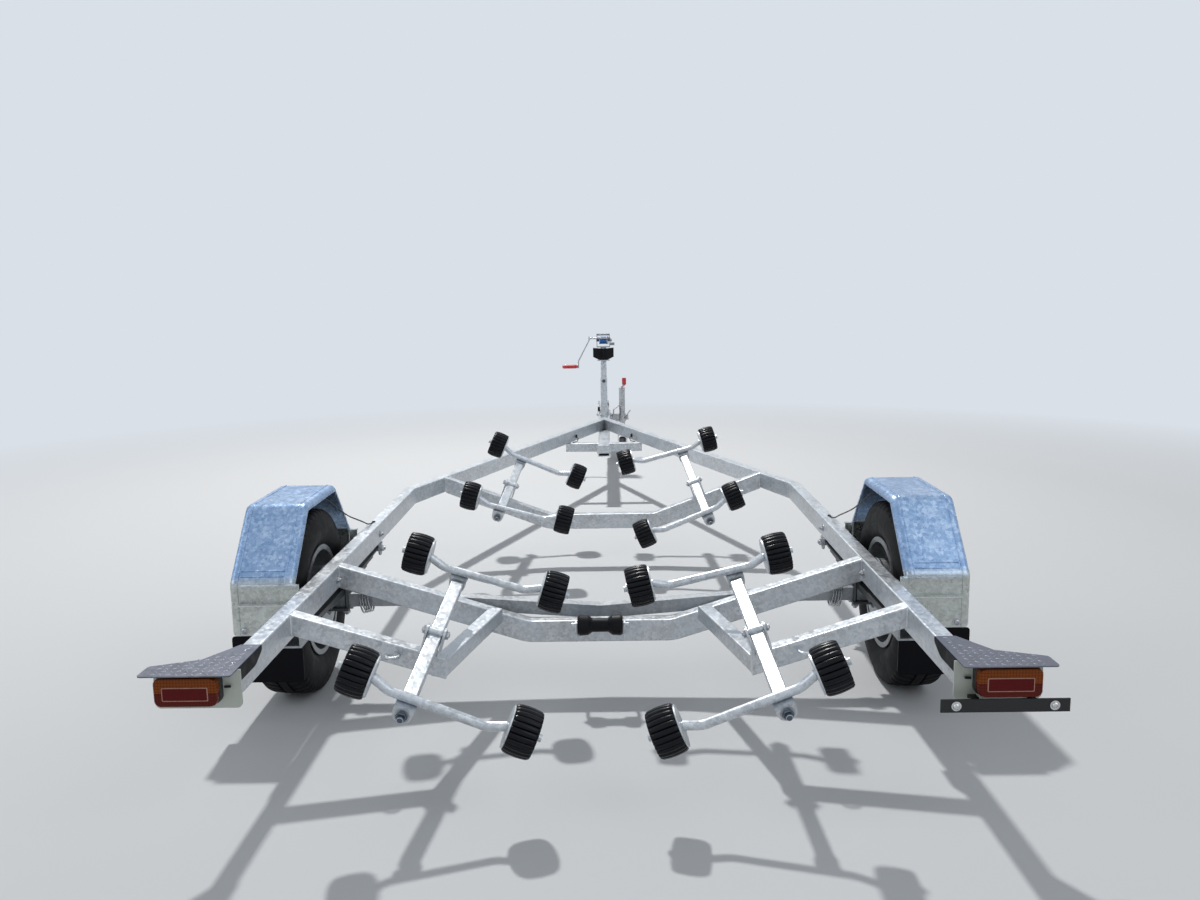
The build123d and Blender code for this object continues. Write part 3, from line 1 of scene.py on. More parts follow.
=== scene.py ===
import json
import math

import bpy
import numpy as np
from mathutils import Matrix, Vector


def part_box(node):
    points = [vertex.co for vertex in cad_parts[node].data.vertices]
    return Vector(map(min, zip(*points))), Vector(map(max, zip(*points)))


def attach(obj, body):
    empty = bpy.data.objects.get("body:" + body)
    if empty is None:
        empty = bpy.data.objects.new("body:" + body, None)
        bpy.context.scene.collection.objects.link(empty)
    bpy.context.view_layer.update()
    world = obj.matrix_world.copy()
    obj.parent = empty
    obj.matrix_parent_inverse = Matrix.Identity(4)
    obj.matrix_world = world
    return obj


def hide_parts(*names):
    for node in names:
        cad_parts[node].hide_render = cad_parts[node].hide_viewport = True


# Boat trailer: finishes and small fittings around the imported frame. Metres, +Y towards the hitch.

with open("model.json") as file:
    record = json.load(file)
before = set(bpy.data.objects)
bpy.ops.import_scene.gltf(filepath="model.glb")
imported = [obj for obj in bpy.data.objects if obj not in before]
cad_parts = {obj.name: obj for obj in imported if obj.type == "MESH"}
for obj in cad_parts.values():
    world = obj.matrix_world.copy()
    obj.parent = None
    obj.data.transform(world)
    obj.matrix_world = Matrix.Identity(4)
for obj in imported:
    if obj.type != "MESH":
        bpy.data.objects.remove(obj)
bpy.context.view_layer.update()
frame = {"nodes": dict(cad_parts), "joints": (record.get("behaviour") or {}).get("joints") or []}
NODES = frame["nodes"]
JOINTS = {joint["name"]: joint for joint in frame["joints"]}
MM = 0.001

# The wheel axle's station, from the road wheels' own joint
AXLE_Y = JOINTS["wheel_left_spin"]["pos_m"][1]

CRADLES = ["rear_left", "rear_right", "front_left", "front_right"]
ENDS = ["back", "fore"]
TIPS = ["outer", "inner"]


def in_mm(*pairs):
    """Pairs of millimetres as metres."""
    return [(first * MM, second * MM) for first, second in pairs]


# Material nodes


class Surface:
    """A procedural material with a Principled shader and object coordinates."""

    def __init__(self, name, **settings):
        self.material = bpy.data.materials.new(name)
        self.material.use_nodes = True
        self.tree = self.material.node_tree
        self.shader = self.tree.nodes["Principled BSDF"]
        for socket, value in settings.items():
            self.shader.inputs[socket.replace("_", " ")].default_value = value
        self.coordinates = self.tree.nodes.new("ShaderNodeTexCoord").outputs["Object"]
        self.height = None

    def node(self, kind, inputs=None, **settings):
        made = self.tree.nodes.new("ShaderNode" + kind)
        for name, value in settings.items():
            setattr(made, name, value)
        for name, value in (inputs or {}).items():
            if isinstance(value, bpy.types.NodeSocket):
                self.tree.links.new(value, made.inputs[name])
            else:
                made.inputs[name].default_value = value
        return made

    def stretched(self, scale):
        """Object coordinates scaled by a different amount on each axis."""
        return self.node("Mapping", {"Vector": self.coordinates, "Scale": scale}).outputs["Vector"]

    def noise(self, scale, detail=4.0, vector=None, distortion=0.0):
        inputs = {"Vector": vector or self.coordinates, "Scale": scale, "Detail": detail,
                  "Distortion": distortion}
        return self.node("TexNoise", inputs).outputs["Fac"]

    def cells(self, scale, vector=None):
        """A random grey for each cell of a Voronoi pattern."""
        voronoi = self.node("TexVoronoi", {"Vector": vector or self.coordinates, "Scale": scale})
        return self.node("SeparateColor", {"Color": voronoi.outputs["Color"]}).outputs["Red"]

    def maths(self, operation, first, second=0.0):
        made = self.node("Math", operation=operation)
        for slot, value in ((0, first), (1, second)):
            if isinstance(value, bpy.types.NodeSocket):
                self.tree.links.new(value, made.inputs[slot])
            else:
                made.inputs[slot].default_value = value
        return made.outputs[0]

    def ranged(self, factor, low, high, start=0.0, stop=1.0):
        inputs = {"Value": factor, "From Min": start, "From Max": stop, "To Min": low, "To Max": high}
        return self.node("MapRange", inputs).outputs["Result"]

    def colours(self, factor, *stops):
        """Colour ramp from stops (position, red, green, blue)."""
        ramp = self.node("ValToRGB", {"Fac": factor})
        elements = ramp.color_ramp.elements
        while len(elements) < len(stops):
            elements.new(0.5)
        for element, stop in zip(elements, stops):
            element.position = stop[0]
            element.color = (*stop[1:], 1.0)
        return ramp.outputs["Color"]

    def wave(self, position, length):
        """Rounded crests that repeat with a length."""
        scaled = self.maths("MULTIPLY", position, math.pi / length)
        return self.maths("ABSOLUTE", self.maths("SINE", scaled))

    def mixed(self, factor, first, second):
        made = self.node("Mix", data_type="RGBA")
        for slot, value in ((0, factor), (6, first), (7, second)):
            if isinstance(value, bpy.types.NodeSocket):
                self.tree.links.new(value, made.inputs[slot])
            elif slot == 0:
                made.inputs[slot].default_value = value
            else:
                made.inputs[slot].default_value = (*value, 1.0)
        return made.outputs[2]

    def connect(self, socket, value):
        self.tree.links.new(value, self.shader.inputs[socket])

    def bump(self, height, strength, distance):
        inputs = {"Height": height, "Strength": strength, "Distance": distance}
        if self.height is not None:
            inputs["Normal"] = self.height
        self.height = self.node("Bump", inputs).outputs["Normal"]
        self.connect("Normal", self.height)


def zinc_tone(surface, patches):
    """Grey value of hot-dipped zinc: a spangle of small crystals, broad patches and runs."""
    spangle = surface.cells(105.0, surface.stretched((1.0, 0.7, 1.0)))
    runs = surface.noise(9.0, 3.0, surface.stretched((2.0, 0.5, 1.2)), 1.0)
    tone = surface.maths("MULTIPLY", spangle, 0.34)
    tone = surface.maths("ADD", tone, surface.maths("MULTIPLY", surface.cells(260.0), 0.16))
    tone = surface.maths("ADD", tone, surface.maths("MULTIPLY", patches, 0.55))
    tone = surface.maths("ADD", tone, surface.maths("MULTIPLY", runs, 0.35))
    grain = surface.maths("ADD", surface.maths("MULTIPLY", spangle, 0.6), runs)
    return tone, grain


def zinc_skin(surface, grain, roughness):
    """Roughness that follows the grain, and a slightly uneven skin."""
    surface.connect("Roughness", surface.ranged(grain, roughness - 0.09, roughness + 0.13, 0.2, 1.3))
    surface.bump(surface.noise(28.0, 2.0), 0.22, 0.004)
    surface.bump(surface.noise(420.0, 2.0), 0.12, 0.0006)


def galvanised(name, dark, light, blue, roughness):
    """Hot-dipped zinc on tube and bar."""
    surface = Surface(name, Metallic=0.82)
    patches = surface.noise(5.0, 6.0, distortion=0.6)
    tone, grain = zinc_tone(surface, patches)
    middle = [(low + high) / 2 for low, high in zip(dark, light)]
    colour = surface.colours(tone, (0.25, *dark), (0.62, *middle), (1.0, *light))
    surface.connect("Base Color", surface.mixed(surface.ranged(patches, 0.0, 0.5, 0.45, 0.75), colour, blue))
    zinc_skin(surface, grain, roughness)
    return surface.material


def galvanised_sheet_painted_reflection(name, sky_reflection, ground_reflection, knee, roughness):
    """Galvanised sheet wiped in slanting streaks, with a blue painted sky reflection above the knee and a
    neutral grey painted ground reflection below it.
    """
    surface = Surface(name, Metallic=0.82)
    patches = surface.noise(5.0, 6.0, distortion=0.6)
    tone, grain = zinc_tone(surface, patches)
    slanted = surface.node("Mapping", {"Vector": surface.coordinates, "Rotation": (0.7, 0.5, 0.4),
                                       "Scale": (9.0, 110.0, 110.0)}).outputs["Vector"]
    wiped = surface.ranged(surface.noise(1.0, 5.0, slanted, 0.4), -0.16, 0.16)
    streaked = surface.maths("ADD", tone, wiped)
    # Painted reflection: the sky's blues on the panels above the knee, the ground's greys below it
    high = surface.colours(streaked, (0.34, *sky_reflection[0]), (0.72, *sky_reflection[1]), (1.0, *sky_reflection[2]))
    low = surface.colours(tone, (0.25, *ground_reflection[0]), (1.0, *ground_reflection[1]))
    axes = surface.node("SeparateXYZ", {"Vector": surface.coordinates})
    above = surface.ranged(axes.outputs["Z"], 0.0, 1.0, knee - 0.01, knee + 0.02)
    surface.connect("Base Color", surface.mixed(above, low, high))
    zinc_skin(surface, grain, roughness)
    return surface.material


def plain_metal(name, colour, roughness, metallic=1.0, grain=300.0):
    """Plated or machined metal with faint grain and handling marks."""
    surface = Surface(name, Metallic=metallic)
    marks = surface.noise(40.0, 6.0, distortion=0.8)
    darker = [c * 0.72 for c in colour]
    surface.connect("Base Color", surface.colours(marks, (0.3, *darker), (0.7, *colour)))
    surface.connect("Roughness", surface.ranged(marks, roughness - 0.07, roughness + 0.12, 0.3, 0.75))
    surface.bump(surface.noise(grain, 3.0), 0.08, 0.0005)
    return surface.material


def rubber(name, colour, roughness, dust=0.0, gloss=0.16):
    """Moulded rubber with a fine grain, faint scuffs and pale dust."""
    surface = Surface(name, Specular_IOR_Level=gloss)
    scuffs = surface.noise(22.0, 7.0, distortion=1.2)
    dusty = [c + dust for c in colour]
    surface.connect("Base Color", surface.colours(scuffs, (0.35, *colour), (0.85, *dusty)))
    surface.connect("Roughness", surface.ranged(scuffs, roughness - 0.08, roughness + 0.16, 0.3, 0.8))
    surface.bump(surface.noise(700.0, 2.0), 0.12, 0.0004)
    return surface.material


def painted(name, colour, roughness, wear=0.04, coat=0.0):
    """Paint or moulded plastic with a slight orange peel and dulled patches."""
    surface = Surface(name, Coat_Weight=coat, Coat_Roughness=0.12)
    patches = surface.noise(14.0, 6.0, distortion=0.5)
    faded = [min(1.0, c + wear) for c in colour]
    surface.connect("Base Color", surface.colours(patches, (0.35, *colour), (0.8, *faded)))
    surface.connect("Roughness", surface.ranged(patches, roughness - 0.05, roughness + 0.15, 0.3, 0.8))
    surface.bump(surface.noise(350.0, 2.0), 0.06, 0.0004)
    return surface.material


def lens(name, colour, painted_shade, cell):
    """Ribbed lamp lens: clear coat over a grid of small optics, with painted shade between their crowns."""
    surface = Surface(name, Roughness=0.22, Coat_Weight=0.08, Coat_Roughness=0.05, Specular_IOR_Level=0.12)
    axes = surface.node("SeparateXYZ", {"Vector": surface.coordinates}).outputs
    crowns = surface.maths("MULTIPLY", surface.wave(axes["X"], cell), surface.wave(axes["Z"], cell))
    # Painted shade: the colour darkens in the hollows between the optics' crowns
    surface.connect("Base Color", surface.colours(crowns, (0.05, *painted_shade), (0.75, *colour)))
    surface.bump(crowns, 0.15, 0.0008)
    return surface.material


def webbing(name, colour, dark):
    """Woven strap: ribs across the width and a finer weave along it, with painted shade in the hollows
    between them.
    """
    surface = Surface(name, Roughness=0.75, Sheen_Weight=0.3)
    axes = surface.node("SeparateXYZ", {"Vector": surface.coordinates}).outputs
    ribs = surface.wave(axes["X"], 0.0028)
    picks = surface.wave(axes["Z"], 0.0016)
    weave = surface.maths("MULTIPLY", ribs, surface.maths("ADD", surface.maths("MULTIPLY", picks, 0.5), 0.5))
    fuzz = surface.noise(300.0, 3.0)
    tone = surface.maths("ADD", surface.maths("MULTIPLY", weave, 0.7), surface.maths("MULTIPLY", fuzz, 0.4))
    # Painted shade: darker in the hollows of the weave, between the ribs and picks
    surface.connect("Base Color", surface.colours(tone, (0.1, *dark), (0.8, *colour)))
    surface.bump(weave, 0.6, 0.0009)
    return surface.material


ZINC = galvanised("galvanised", (0.34, 0.365, 0.39), (0.74, 0.765, 0.79), (0.44, 0.50, 0.57), 0.36)
# Painted reflection: blues of the sky reflected on the upper panels, greys of the ground reflected on the
# lower ones
SHEET_SKY_REFLECTION = ((0.17, 0.28, 0.48), (0.29, 0.42, 0.63), (0.50, 0.63, 0.80))
SHEET_GROUND_REFLECTION = ((0.30, 0.315, 0.29), (0.62, 0.65, 0.63))
ZINC_SHEET_PAINTED_REFLECTION = galvanised_sheet_painted_reflection("galvanised_sheet_painted_reflection", SHEET_SKY_REFLECTION, SHEET_GROUND_REFLECTION, 0.482, 0.30)
PLATED = plain_metal("zinc_plated", (0.52, 0.53, 0.55), 0.28)
WINCH_STEEL = plain_metal("winch_steel", (0.27, 0.28, 0.31), 0.26)
BOLT = plain_metal("bright_bolts", (0.50, 0.515, 0.54), 0.34)
NUT_STEEL = plain_metal("nut_steel", (0.14, 0.17, 0.21), 0.34)
BEAD = galvanised("weld_bead", (0.46, 0.47, 0.48), (0.80, 0.81, 0.82), (0.62, 0.65, 0.68), 0.36)
STAINLESS = plain_metal("stainless_bolts", (0.72, 0.72, 0.72), 0.22)
SPRING = plain_metal("spring_leaves", (0.12, 0.125, 0.13), 0.5, 0.7)
AXLE = galvanised("galvanised_axle", (0.22, 0.23, 0.24), (0.46, 0.48, 0.50), (0.34, 0.38, 0.42), 0.46)
# Painted shade: the wheels' zinc is darkened to stand in for the shade under the mudguards
WHEEL_PAINTED_SHADE = galvanised("wheel_steel", (0.16, 0.165, 0.17), (0.36, 0.375, 0.39), (0.26, 0.28, 0.30), 0.40)
ROLLER = rubber("roller_rubber", (0.0015, 0.002, 0.0045), 0.27, 0.002, 0.2)
# Black rubber, darkened further as painted shade for the tyres' place under the mudguards
TYRE = rubber("tyre_rubber_painted_shade", (0.006, 0.006, 0.007), 0.62, 0.007)
FLAP = rubber("flap_rubber", (0.002, 0.002, 0.004), 0.46, 0.002, 0.10)
BUMPER = rubber("bow_rubber", (0.005, 0.005, 0.007), 0.45, 0.005)
CABLE = rubber("cable_sheath", (0.015, 0.015, 0.016), 0.42, 0.010)
TREAD_PLATE = plain_metal("tread_plate", (0.17, 0.18, 0.225), 0.40, 0.7)
TREAD_BAR = plain_metal("tread_bars", (0.30, 0.31, 0.36), 0.52, 0.7)
BLACK = painted("black_paint", (0.003, 0.003, 0.0035), 0.46, 0.003)
LAMP_BASE = painted("lamp_base", (0.012, 0.012, 0.013), 0.38, 0.008)
RED_GRIP = painted("red_grip", (0.52, 0.012, 0.016), 0.33, 0.03, 0.4)
# The second colour of each lens is the painted shade between its optics
AMBER = lens("amber_lens", (0.25, 0.058, 0.004), (0.15, 0.032, 0.003), 0.0075)
RED_LENS = lens("red_lens", (0.125, 0.011, 0.005), (0.085, 0.007, 0.004), 0.0075)
RED_WINDOW = lens("red_window", (0.13, 0.002, 0.003), (0.085, 0.0015, 0.002), 0.0040)
LAMP_FRAME = plain_metal("lamp_frame", (0.46, 0.24, 0.18), 0.3, 0.4)
LAMP_BACK = painted("lamp_plate", (0.50, 0.54, 0.48), 0.30, 0.06, 0.2)
# The second colour is painted shade for the hollows of the weave
STRAP = webbing("winch_strap", (0.03, 0.20, 0.62), (0.012, 0.06, 0.24))


# Shapes as (points, faces)


def turned(profile, count=32):
    """Profile (radius, z) turned about Z. A radius of zero closes an end."""
    points, faces = [], []
    rings = []
    for radius, z in profile:
        if radius == 0.0:
            rings.append([len(points)] * count)
            points.append((0.0, 0.0, z))
        else:
            rings.append(list(range(len(points), len(points) + count)))
            turn = 2 * math.pi / count
            points += [(radius * math.cos(i * turn), radius * math.sin(i * turn), z) for i in range(count)]
    for low, high in zip(rings, rings[1:]):
        for i in range(count):
            j = (i + 1) % count
            face = [low[i], low[j], high[j], high[i]]
            face = [v for k, v in enumerate(face) if v != face[k - 1]]
            if len(face) > 2:
                faces.append(face)
    return points, faces


def hexagon(radius, height):
    """Hexagon head or nut on Z = 0 with chamfered corners."""
    rim = radius * 0.93
    corner = [(radius * math.cos(i * math.pi / 3), radius * math.sin(i * math.pi / 3)) for i in range(6)]
    points, faces = [], []
    for scale, z in ((rim / radius, 0.0), (1.0, height * 0.12), (1.0, height * 0.85), (rim / radius, height)):
        points += [(x * scale, y * scale, z) for x, y in corner]
    for ring in range(3):
        for i in range(6):
            j = (i + 1) % 6
            faces.append([ring * 6 + i, ring * 6 + j, ring * 6 + 6 + j, ring * 6 + 6 + i])
    faces.append([5, 4, 3, 2, 1, 0])
    faces.append([18, 19, 20, 21, 22, 23])
    return points, faces


def joined(*shapes):
    """Several shapes as one; each is (shape) or (shape, place)."""
    points, faces = [], []
    for item in shapes:
        shape, place = item if isinstance(item[1], Matrix) else (item, Matrix())
        base = len(points)
        points += [tuple(place @ Vector(p)) for p in shape[0]]
        faces += [[v + base for v in face] for face in shape[1]]
    return points, faces


def bolt(radius, head, washer=0.0, stub=0.0):
    """Hexagon on a washer, standing on Z = 0, with the thread's end showing."""
    parts = []
    z = 0.0
    if washer:
        thick = radius * 0.22
        parts.append(turned([(0.0, 0.0), (washer, 0.0), (washer, thick * 0.8), (washer * 0.97, thick),
                             (0.0, thick)], 28))
        z = thick
    parts.append((hexagon(radius, head), Matrix.Translation((0, 0, z))))
    if stub:
        shank = radius * 0.55
        thread = [(shank, 0.0), (shank, stub - shank * 0.25), (shank * 0.75, stub), (0.0, stub)]
        parts.append((turned(thread, 20), Matrix.Translation((0, 0, z + head))))
    return joined(*parts)


def swept(route, radius, count=10, closed=False):
    """Round tube along points, with flat ends; radius may be one number or one for each point."""
    points = [Vector(p) for p in route]
    last = len(points) - 1
    radii = radius if hasattr(radius, "__len__") else [radius] * len(points)
    ahead = (points[1] - points[0]).normalized()
    side = ahead.orthogonal().normalized()
    rings, made = [], []
    for i, point in enumerate(points):
        if closed:
            tangent = (points[(i + 1) % (last + 1)] - points[i - 1]).normalized()
        else:
            tangent = (points[min(i + 1, last)] - points[max(i - 1, 0)]).normalized()
        side = (side - tangent * side.dot(tangent)).normalized()
        up = tangent.cross(side)
        rings.append(range(len(made), len(made) + count))
        for k in range(count):
            turn = 2 * math.pi * k / count
            made.append(tuple(point + (side * math.cos(turn) + up * math.sin(turn)) * radii[i]))
    faces = []
    pairs = list(zip(rings, rings[1:])) + ([(rings[-1], rings[0])] if closed else [])
    for low, high in pairs:
        for k in range(count):
            j = (k + 1) % count
            faces.append([low[k], low[j], high[j], high[k]])
    if not closed:
        faces.append(list(reversed(rings[0])))
        faces.append(list(rings[-1]))
    return made, faces


def rounded_outline(width, height, radius, steps=6):
    """Corner-rounded rectangle about the origin, anticlockwise."""
    outline = []
    for cx, cy, start in ((1, 1, 0), (-1, 1, 90), (-1, -1, 180), (1, -1, 270)):
        for i in range(steps + 1):
            angle = math.radians(start + 90 * i / steps)
            outline.append((cx * (width / 2 - radius) + radius * math.cos(angle),
                            cy * (height / 2 - radius) + radius * math.sin(angle)))
    return outline


def stacked(outlines):
    """Closed solid through outlines (points, z) with the same number of points."""
    count = len(outlines[0][0])
    points = [(x, y, z) for outline, z in outlines for x, y in outline]
    faces = [list(reversed(range(count)))]
    for ring in range(len(outlines) - 1):
        for i in range(count):
            j = (i + 1) % count
            low = ring * count
            faces.append([low + i, low + j, low + count + j, low + count + i])
    faces.append(list(range(len(points) - count, len(points))))
    return points, faces


def slab(outline, depth, bevel):
    """Plate with a rounded front edge, from Z = 0 up."""
    centre = np.mean(np.array(outline), axis=0)
    reach = np.max(np.abs(np.array(outline) - centre))
    inner = [tuple(centre + (np.array(p) - centre) * (1 - bevel / reach)) for p in outline]
    return stacked([(outline, 0.0), (outline, depth - bevel), (inner, depth)])


def weld_bead(start, stop, radius, pitch=0.0042):
    """Rippled bead of weld between two points."""
    a, b = Vector(start), Vector(stop)
    count = max(6, int((b - a).length / pitch) * 3)
    route = [a.lerp(b, i / count) for i in range(count + 1)]
    radii = [radius * (0.86 + 0.14 * math.cos(2 * math.pi * i / 3.0)) for i in range(count + 1)]
    radii[0] = radii[-1] = radius * 0.45
    return swept(route, radii, 8)


def frame_from(origin, x_axis, z_hint):
    """Matrix at a point with the given X axis and Z as near the hint as can be."""
    x = Vector(x_axis).normalized()
    z = Vector(z_hint)
    z = (z - x * z.dot(x)).normalized()
    y = z.cross(x)
    place = Matrix((x, y, z)).transposed().to_4x4()
    place.translation = Vector(origin)
    return place


def along(origin, axis):
    """Matrix at a point whose Z points along an axis."""
    place = Vector(axis).to_track_quat("Z", "Y").to_matrix().to_4x4()
    place.translation = Vector(origin)
    return place


def make_piece(name, shape, material, body, smooth=35.0):
    """Mesh object with smooth shading below an angle, riding on a CAD body."""
    mesh = bpy.data.meshes.new(name)
    mesh.from_pydata(shape[0], [], shape[1])
    mesh.validate()
    mesh.materials.append(material)
    mesh.shade_smooth()
    mesh.set_sharp_from_angle(angle=math.radians(smooth))
    piece = bpy.data.objects.new(name, mesh)
    bpy.context.scene.collection.objects.link(piece)
    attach(piece, body)
    return piece


def dress(material, *nodes):
    """Gives CAD nodes their material."""
    for node in nodes:
        mesh = NODES[node].data
        mesh.materials.clear()
        mesh.materials.append(material)


# Frames of the beams, from their joints

BEAM_FRAMES = {}
for cradle in CRADLES:
    tilt = JOINTS["beam_" + cradle + "_tilt"]
    fore = JOINTS["arm_" + cradle + "_fore_rock"]
    back = JOINTS["arm_" + cradle + "_back_rock"]
    x_axis = Vector(tilt["axis"])
    y_axis = Vector(fore["pos_m"]) - Vector(back["pos_m"])
    BEAM_FRAMES[cradle] = frame_from(tilt["pos_m"], x_axis, x_axis.cross(y_axis))


# Finishes of the CAD nodes: zinc, and then those that differ

dress(ZINC, *NODES)
dress(FLAP, "mud_flaps")
dress(ZINC_SHEET_PAINTED_REFLECTION, "mudguards")
dress(PLATED, "coupling", "jockey_tube", "jockey_clamp", "jockey_leg", "jockey_fork", "winch_crank")
dress(WINCH_STEEL, "winch_frame")
dress(SPRING, "springs")
dress(AXLE, "axle", "spring_hangers")
dress(WHEEL_PAINTED_SHADE, "wheel_left", "wheel_right")
dress(TYRE, "tyre_left", "tyre_right")
dress(BUMPER, "bow_block", "keel_roller", "jockey_wheel")
dress(TREAD_PLATE, "lamp_guards")
dress(LAMP_BACK, "lamp_plates")
dress(BLACK, "plate_strip")
dress(STRAP, "winch_drum")


# Rollers

ROLLER_R = 66 * MM
ROLLER_HALF = 37 * MM
ROLLER_BORE = 10.3 * MM
ROLLER_CROWN = 4 * MM
ROLLER_RIBS = 24
RIB_DEPTH = 5.5 * MM


def ribbed_roller():
    """Crowned roller about X with rounded ribs and narrow grooves across it."""
    around = ROLLER_RIBS * 12
    across = 14
    turns = [2 * math.pi * i / around for i in range(around)]
    ribs = [RIB_DEPTH * (1 - abs(math.sin(ROLLER_RIBS * t / 2)) ** 0.4) for t in turns]
    rows = [(-ROLLER_HALF, ROLLER_BORE, 0.0), (-ROLLER_HALF, ROLLER_R * 0.62, 0.0)]
    for i in range(across + 1):
        u = -1.0 + 2.0 * i / across
        edge = max(0.0, abs(u) - 0.86) / 0.14
        radius = ROLLER_R - ROLLER_CROWN * u * u - 2.5 * MM * edge ** 2
        rows.append((u * ROLLER_HALF, radius, 1.0))
    rows += [(ROLLER_HALF, ROLLER_R * 0.62, 0.0), (ROLLER_HALF, ROLLER_BORE, 0.0)]
    points = []
    for x, radius, share in rows:
        for t, rib in zip(turns, ribs):
            r = radius - rib * share
            points.append((x, r * math.cos(t), r * math.sin(t)))
    faces = []
    for row in range(len(rows)):
        low = row * around
        high = (row + 1) % len(rows) * around
        for i in range(around):
            j = (i + 1) % around
            faces.append([low + i, low + j, high + j, high + i])
    return points, faces


roller = ribbed_roller()
for cradle in CRADLES:
    for end in ENDS:
        for tip in TIPS:
            name = "roller_" + cradle + "_" + end + "_" + tip
            spin = JOINTS[name + "_spin"]
            place = frame_from(spin["pos_m"], spin["axis"], (0, 0, 1))
            piece = make_piece("ribbed_" + name, joined((roller, place)), ROLLER, name, 50.0)
            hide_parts(name)


# Nuts and washers of the cradles

BRACKET_FACE = 29 * MM
LUG_FACE = 375 * MM
BEAM_DROP = 22 * MM

for cradle in CRADLES:
    beam = BEAM_FRAMES[cradle]
    pivot_bolts = []
    for side in (-1, 1):
        face = beam @ Matrix.Translation((side * BRACKET_FACE, 0, 0))
        outward = beam.to_3x3() @ Vector((side, 0, 0))
        pivot_bolts.append((bolt(12 * MM, 7 * MM, 14 * MM, 3 * MM), along(face.translation, outward)))
    make_piece("pivot_bolt_" + cradle, joined(*pivot_bolts), BOLT, "chassis")
    washers = []
    nuts = []
    for end in (-1, 1):
        outward = beam.to_3x3() @ Vector((0, end, 0))
        at = beam @ Vector((0, end * LUG_FACE, -BEAM_DROP))
        washer = turned(in_mm((9, 0.2), (20, 0.2), (20, 1.7), (9, 1.9)), 36)
        washers.append((washer, along(at, outward)))
        thread = turned(in_mm((9.6, 8.8), (9.6, 17), (7.5, 19.2), (0.0, 19.4)), 28)
        turn = Matrix.Rotation(-end * math.pi / 2, 4, "X")
        nut_at = beam @ Matrix.Translation((0, end * (LUG_FACE + 2 * MM), -BEAM_DROP)) @ turn
        nuts += [(hexagon(15.6 * MM, 9.4 * MM), nut_at), (thread, nut_at)]
    make_piece("arm_washers_" + cradle, joined(*washers), BOLT, "beam_" + cradle)
    make_piece("arm_nuts_" + cradle, joined(*nuts), NUT_STEEL, "beam_" + cradle)


# Tail lamps

low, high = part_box("tail_lamps")
LAMP_W = 158 * MM
LAMP_H = 76 * MM
LAMP_X = high.x - LAMP_W / 2
LAMP_Z = (low.z + high.z) / 2
LAMP_BACK_Y = high.y
LAMP_DEPTH = high.y - low.y
LAMP_BASE_DEPTH = 17 * MM
LENS_SPLIT = -2 * MM

for side, word in ((-1, "left"), (1, "right")):
    # Local X to the right seen from behind, local Y up, local Z out of the lamp's back
    place = Matrix.Translation((side * LAMP_X, LAMP_BACK_Y, LAMP_Z)) @ Matrix.Rotation(math.pi / 2, 4, "X")
    base = slab(rounded_outline(LAMP_W, LAMP_H, 17 * MM), LAMP_BASE_DEPTH, 2 * MM)
    piece = make_piece("lamp_base_" + word, joined((base, place)), LAMP_BASE, "chassis")
    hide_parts("tail_lamps")
    lift = Matrix.Translation((0, 0, LAMP_BASE_DEPTH))
    height = LAMP_DEPTH - LAMP_BASE_DEPTH
    whole = rounded_outline(LAMP_W - 5 * MM, LAMP_H - 5 * MM, 15 * MM)
    for part, material, nearer in (("amber", AMBER, max), ("red", RED_LENS, min)):
        cut = [(x, nearer(y, LENS_SPLIT)) for x, y in whole]
        shell = joined((slab(cut, height - 1.5 * MM, 2.5 * MM), place @ lift))
        make_piece("lamp_" + part + "_" + word, shell, material, "chassis")
    window_z = Matrix.Translation((0, -4 * MM, LAMP_BASE_DEPTH))
    rim = slab(rounded_outline(113 * MM, 35 * MM, 3 * MM), height - 0.7 * MM, 0.8 * MM)
    make_piece("lamp_frame_" + word, joined((rim, place @ window_z)), LAMP_FRAME, "chassis")
    window = slab(rounded_outline(108 * MM, 30 * MM, 2 * MM), height, 0.8 * MM)
    make_piece("lamp_window_" + word, joined((window, place @ window_z)), RED_WINDOW, "chassis")
    lead = swept([(side * (LAMP_X - 0.085), LAMP_BACK_Y - 0.006, LAMP_Z + 0.002),
                  (side * (LAMP_X - 0.100), LAMP_BACK_Y - 0.007, LAMP_Z + 0.003)], 3.2 * MM, 12)
    make_piece("lamp_lead_" + word, lead, CABLE, "chassis")


# Tread plate on the lamp guards

low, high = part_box("lamp_guards")
TREAD_PITCH = 19 * MM
GUARD_MIDDLE = 0.995
GUARD_INNER = 0.884
GUARD_OUTER = 1.098
GUARD_NARROW = 0.922
GUARD_KINK = 0.066
GUARD_SLANT = 1.9


def guard_reach(depth):
    """Distance out of a lamp guard's outer edge at a depth from its back."""
    if depth < GUARD_KINK:
        return GUARD_OUTER
    return max(GUARD_NARROW, GUARD_OUTER - (depth - GUARD_KINK) * GUARD_SLANT)


turns = [2 * math.pi * k / 12 for k in range(12)]
foot = [(7.5 * MM * math.cos(t), 2.2 * MM * math.sin(t)) for t in turns]
crest = [(u * 0.6, v * 0.5) for u, v in foot]
tread_bar = stacked([(foot, -0.2 * MM), (crest, 0.7 * MM)])
bars = []
for side in (-1, 1):
    for i in range(-8, 9):
        for j in range(-9, 10):
            x = side * (GUARD_MIDDLE + i * TREAD_PITCH)
            y = (low.y + high.y) / 2 + j * TREAD_PITCH
            depth = y - low.y
            if not 0.010 <= depth <= 0.212:
                continue
            if not GUARD_INNER + 0.008 < abs(x) < guard_reach(depth) - 0.010:
                continue
            angle = math.radians(45 if (i + j) % 2 else -45)
            bars.append((tread_bar, Matrix.Translation((x, y, high.z)) @ Matrix.Rotation(angle, 4, "Z")))
make_piece("tread_bars", joined(*bars), TREAD_BAR, "chassis")


# Fasteners on the chassis

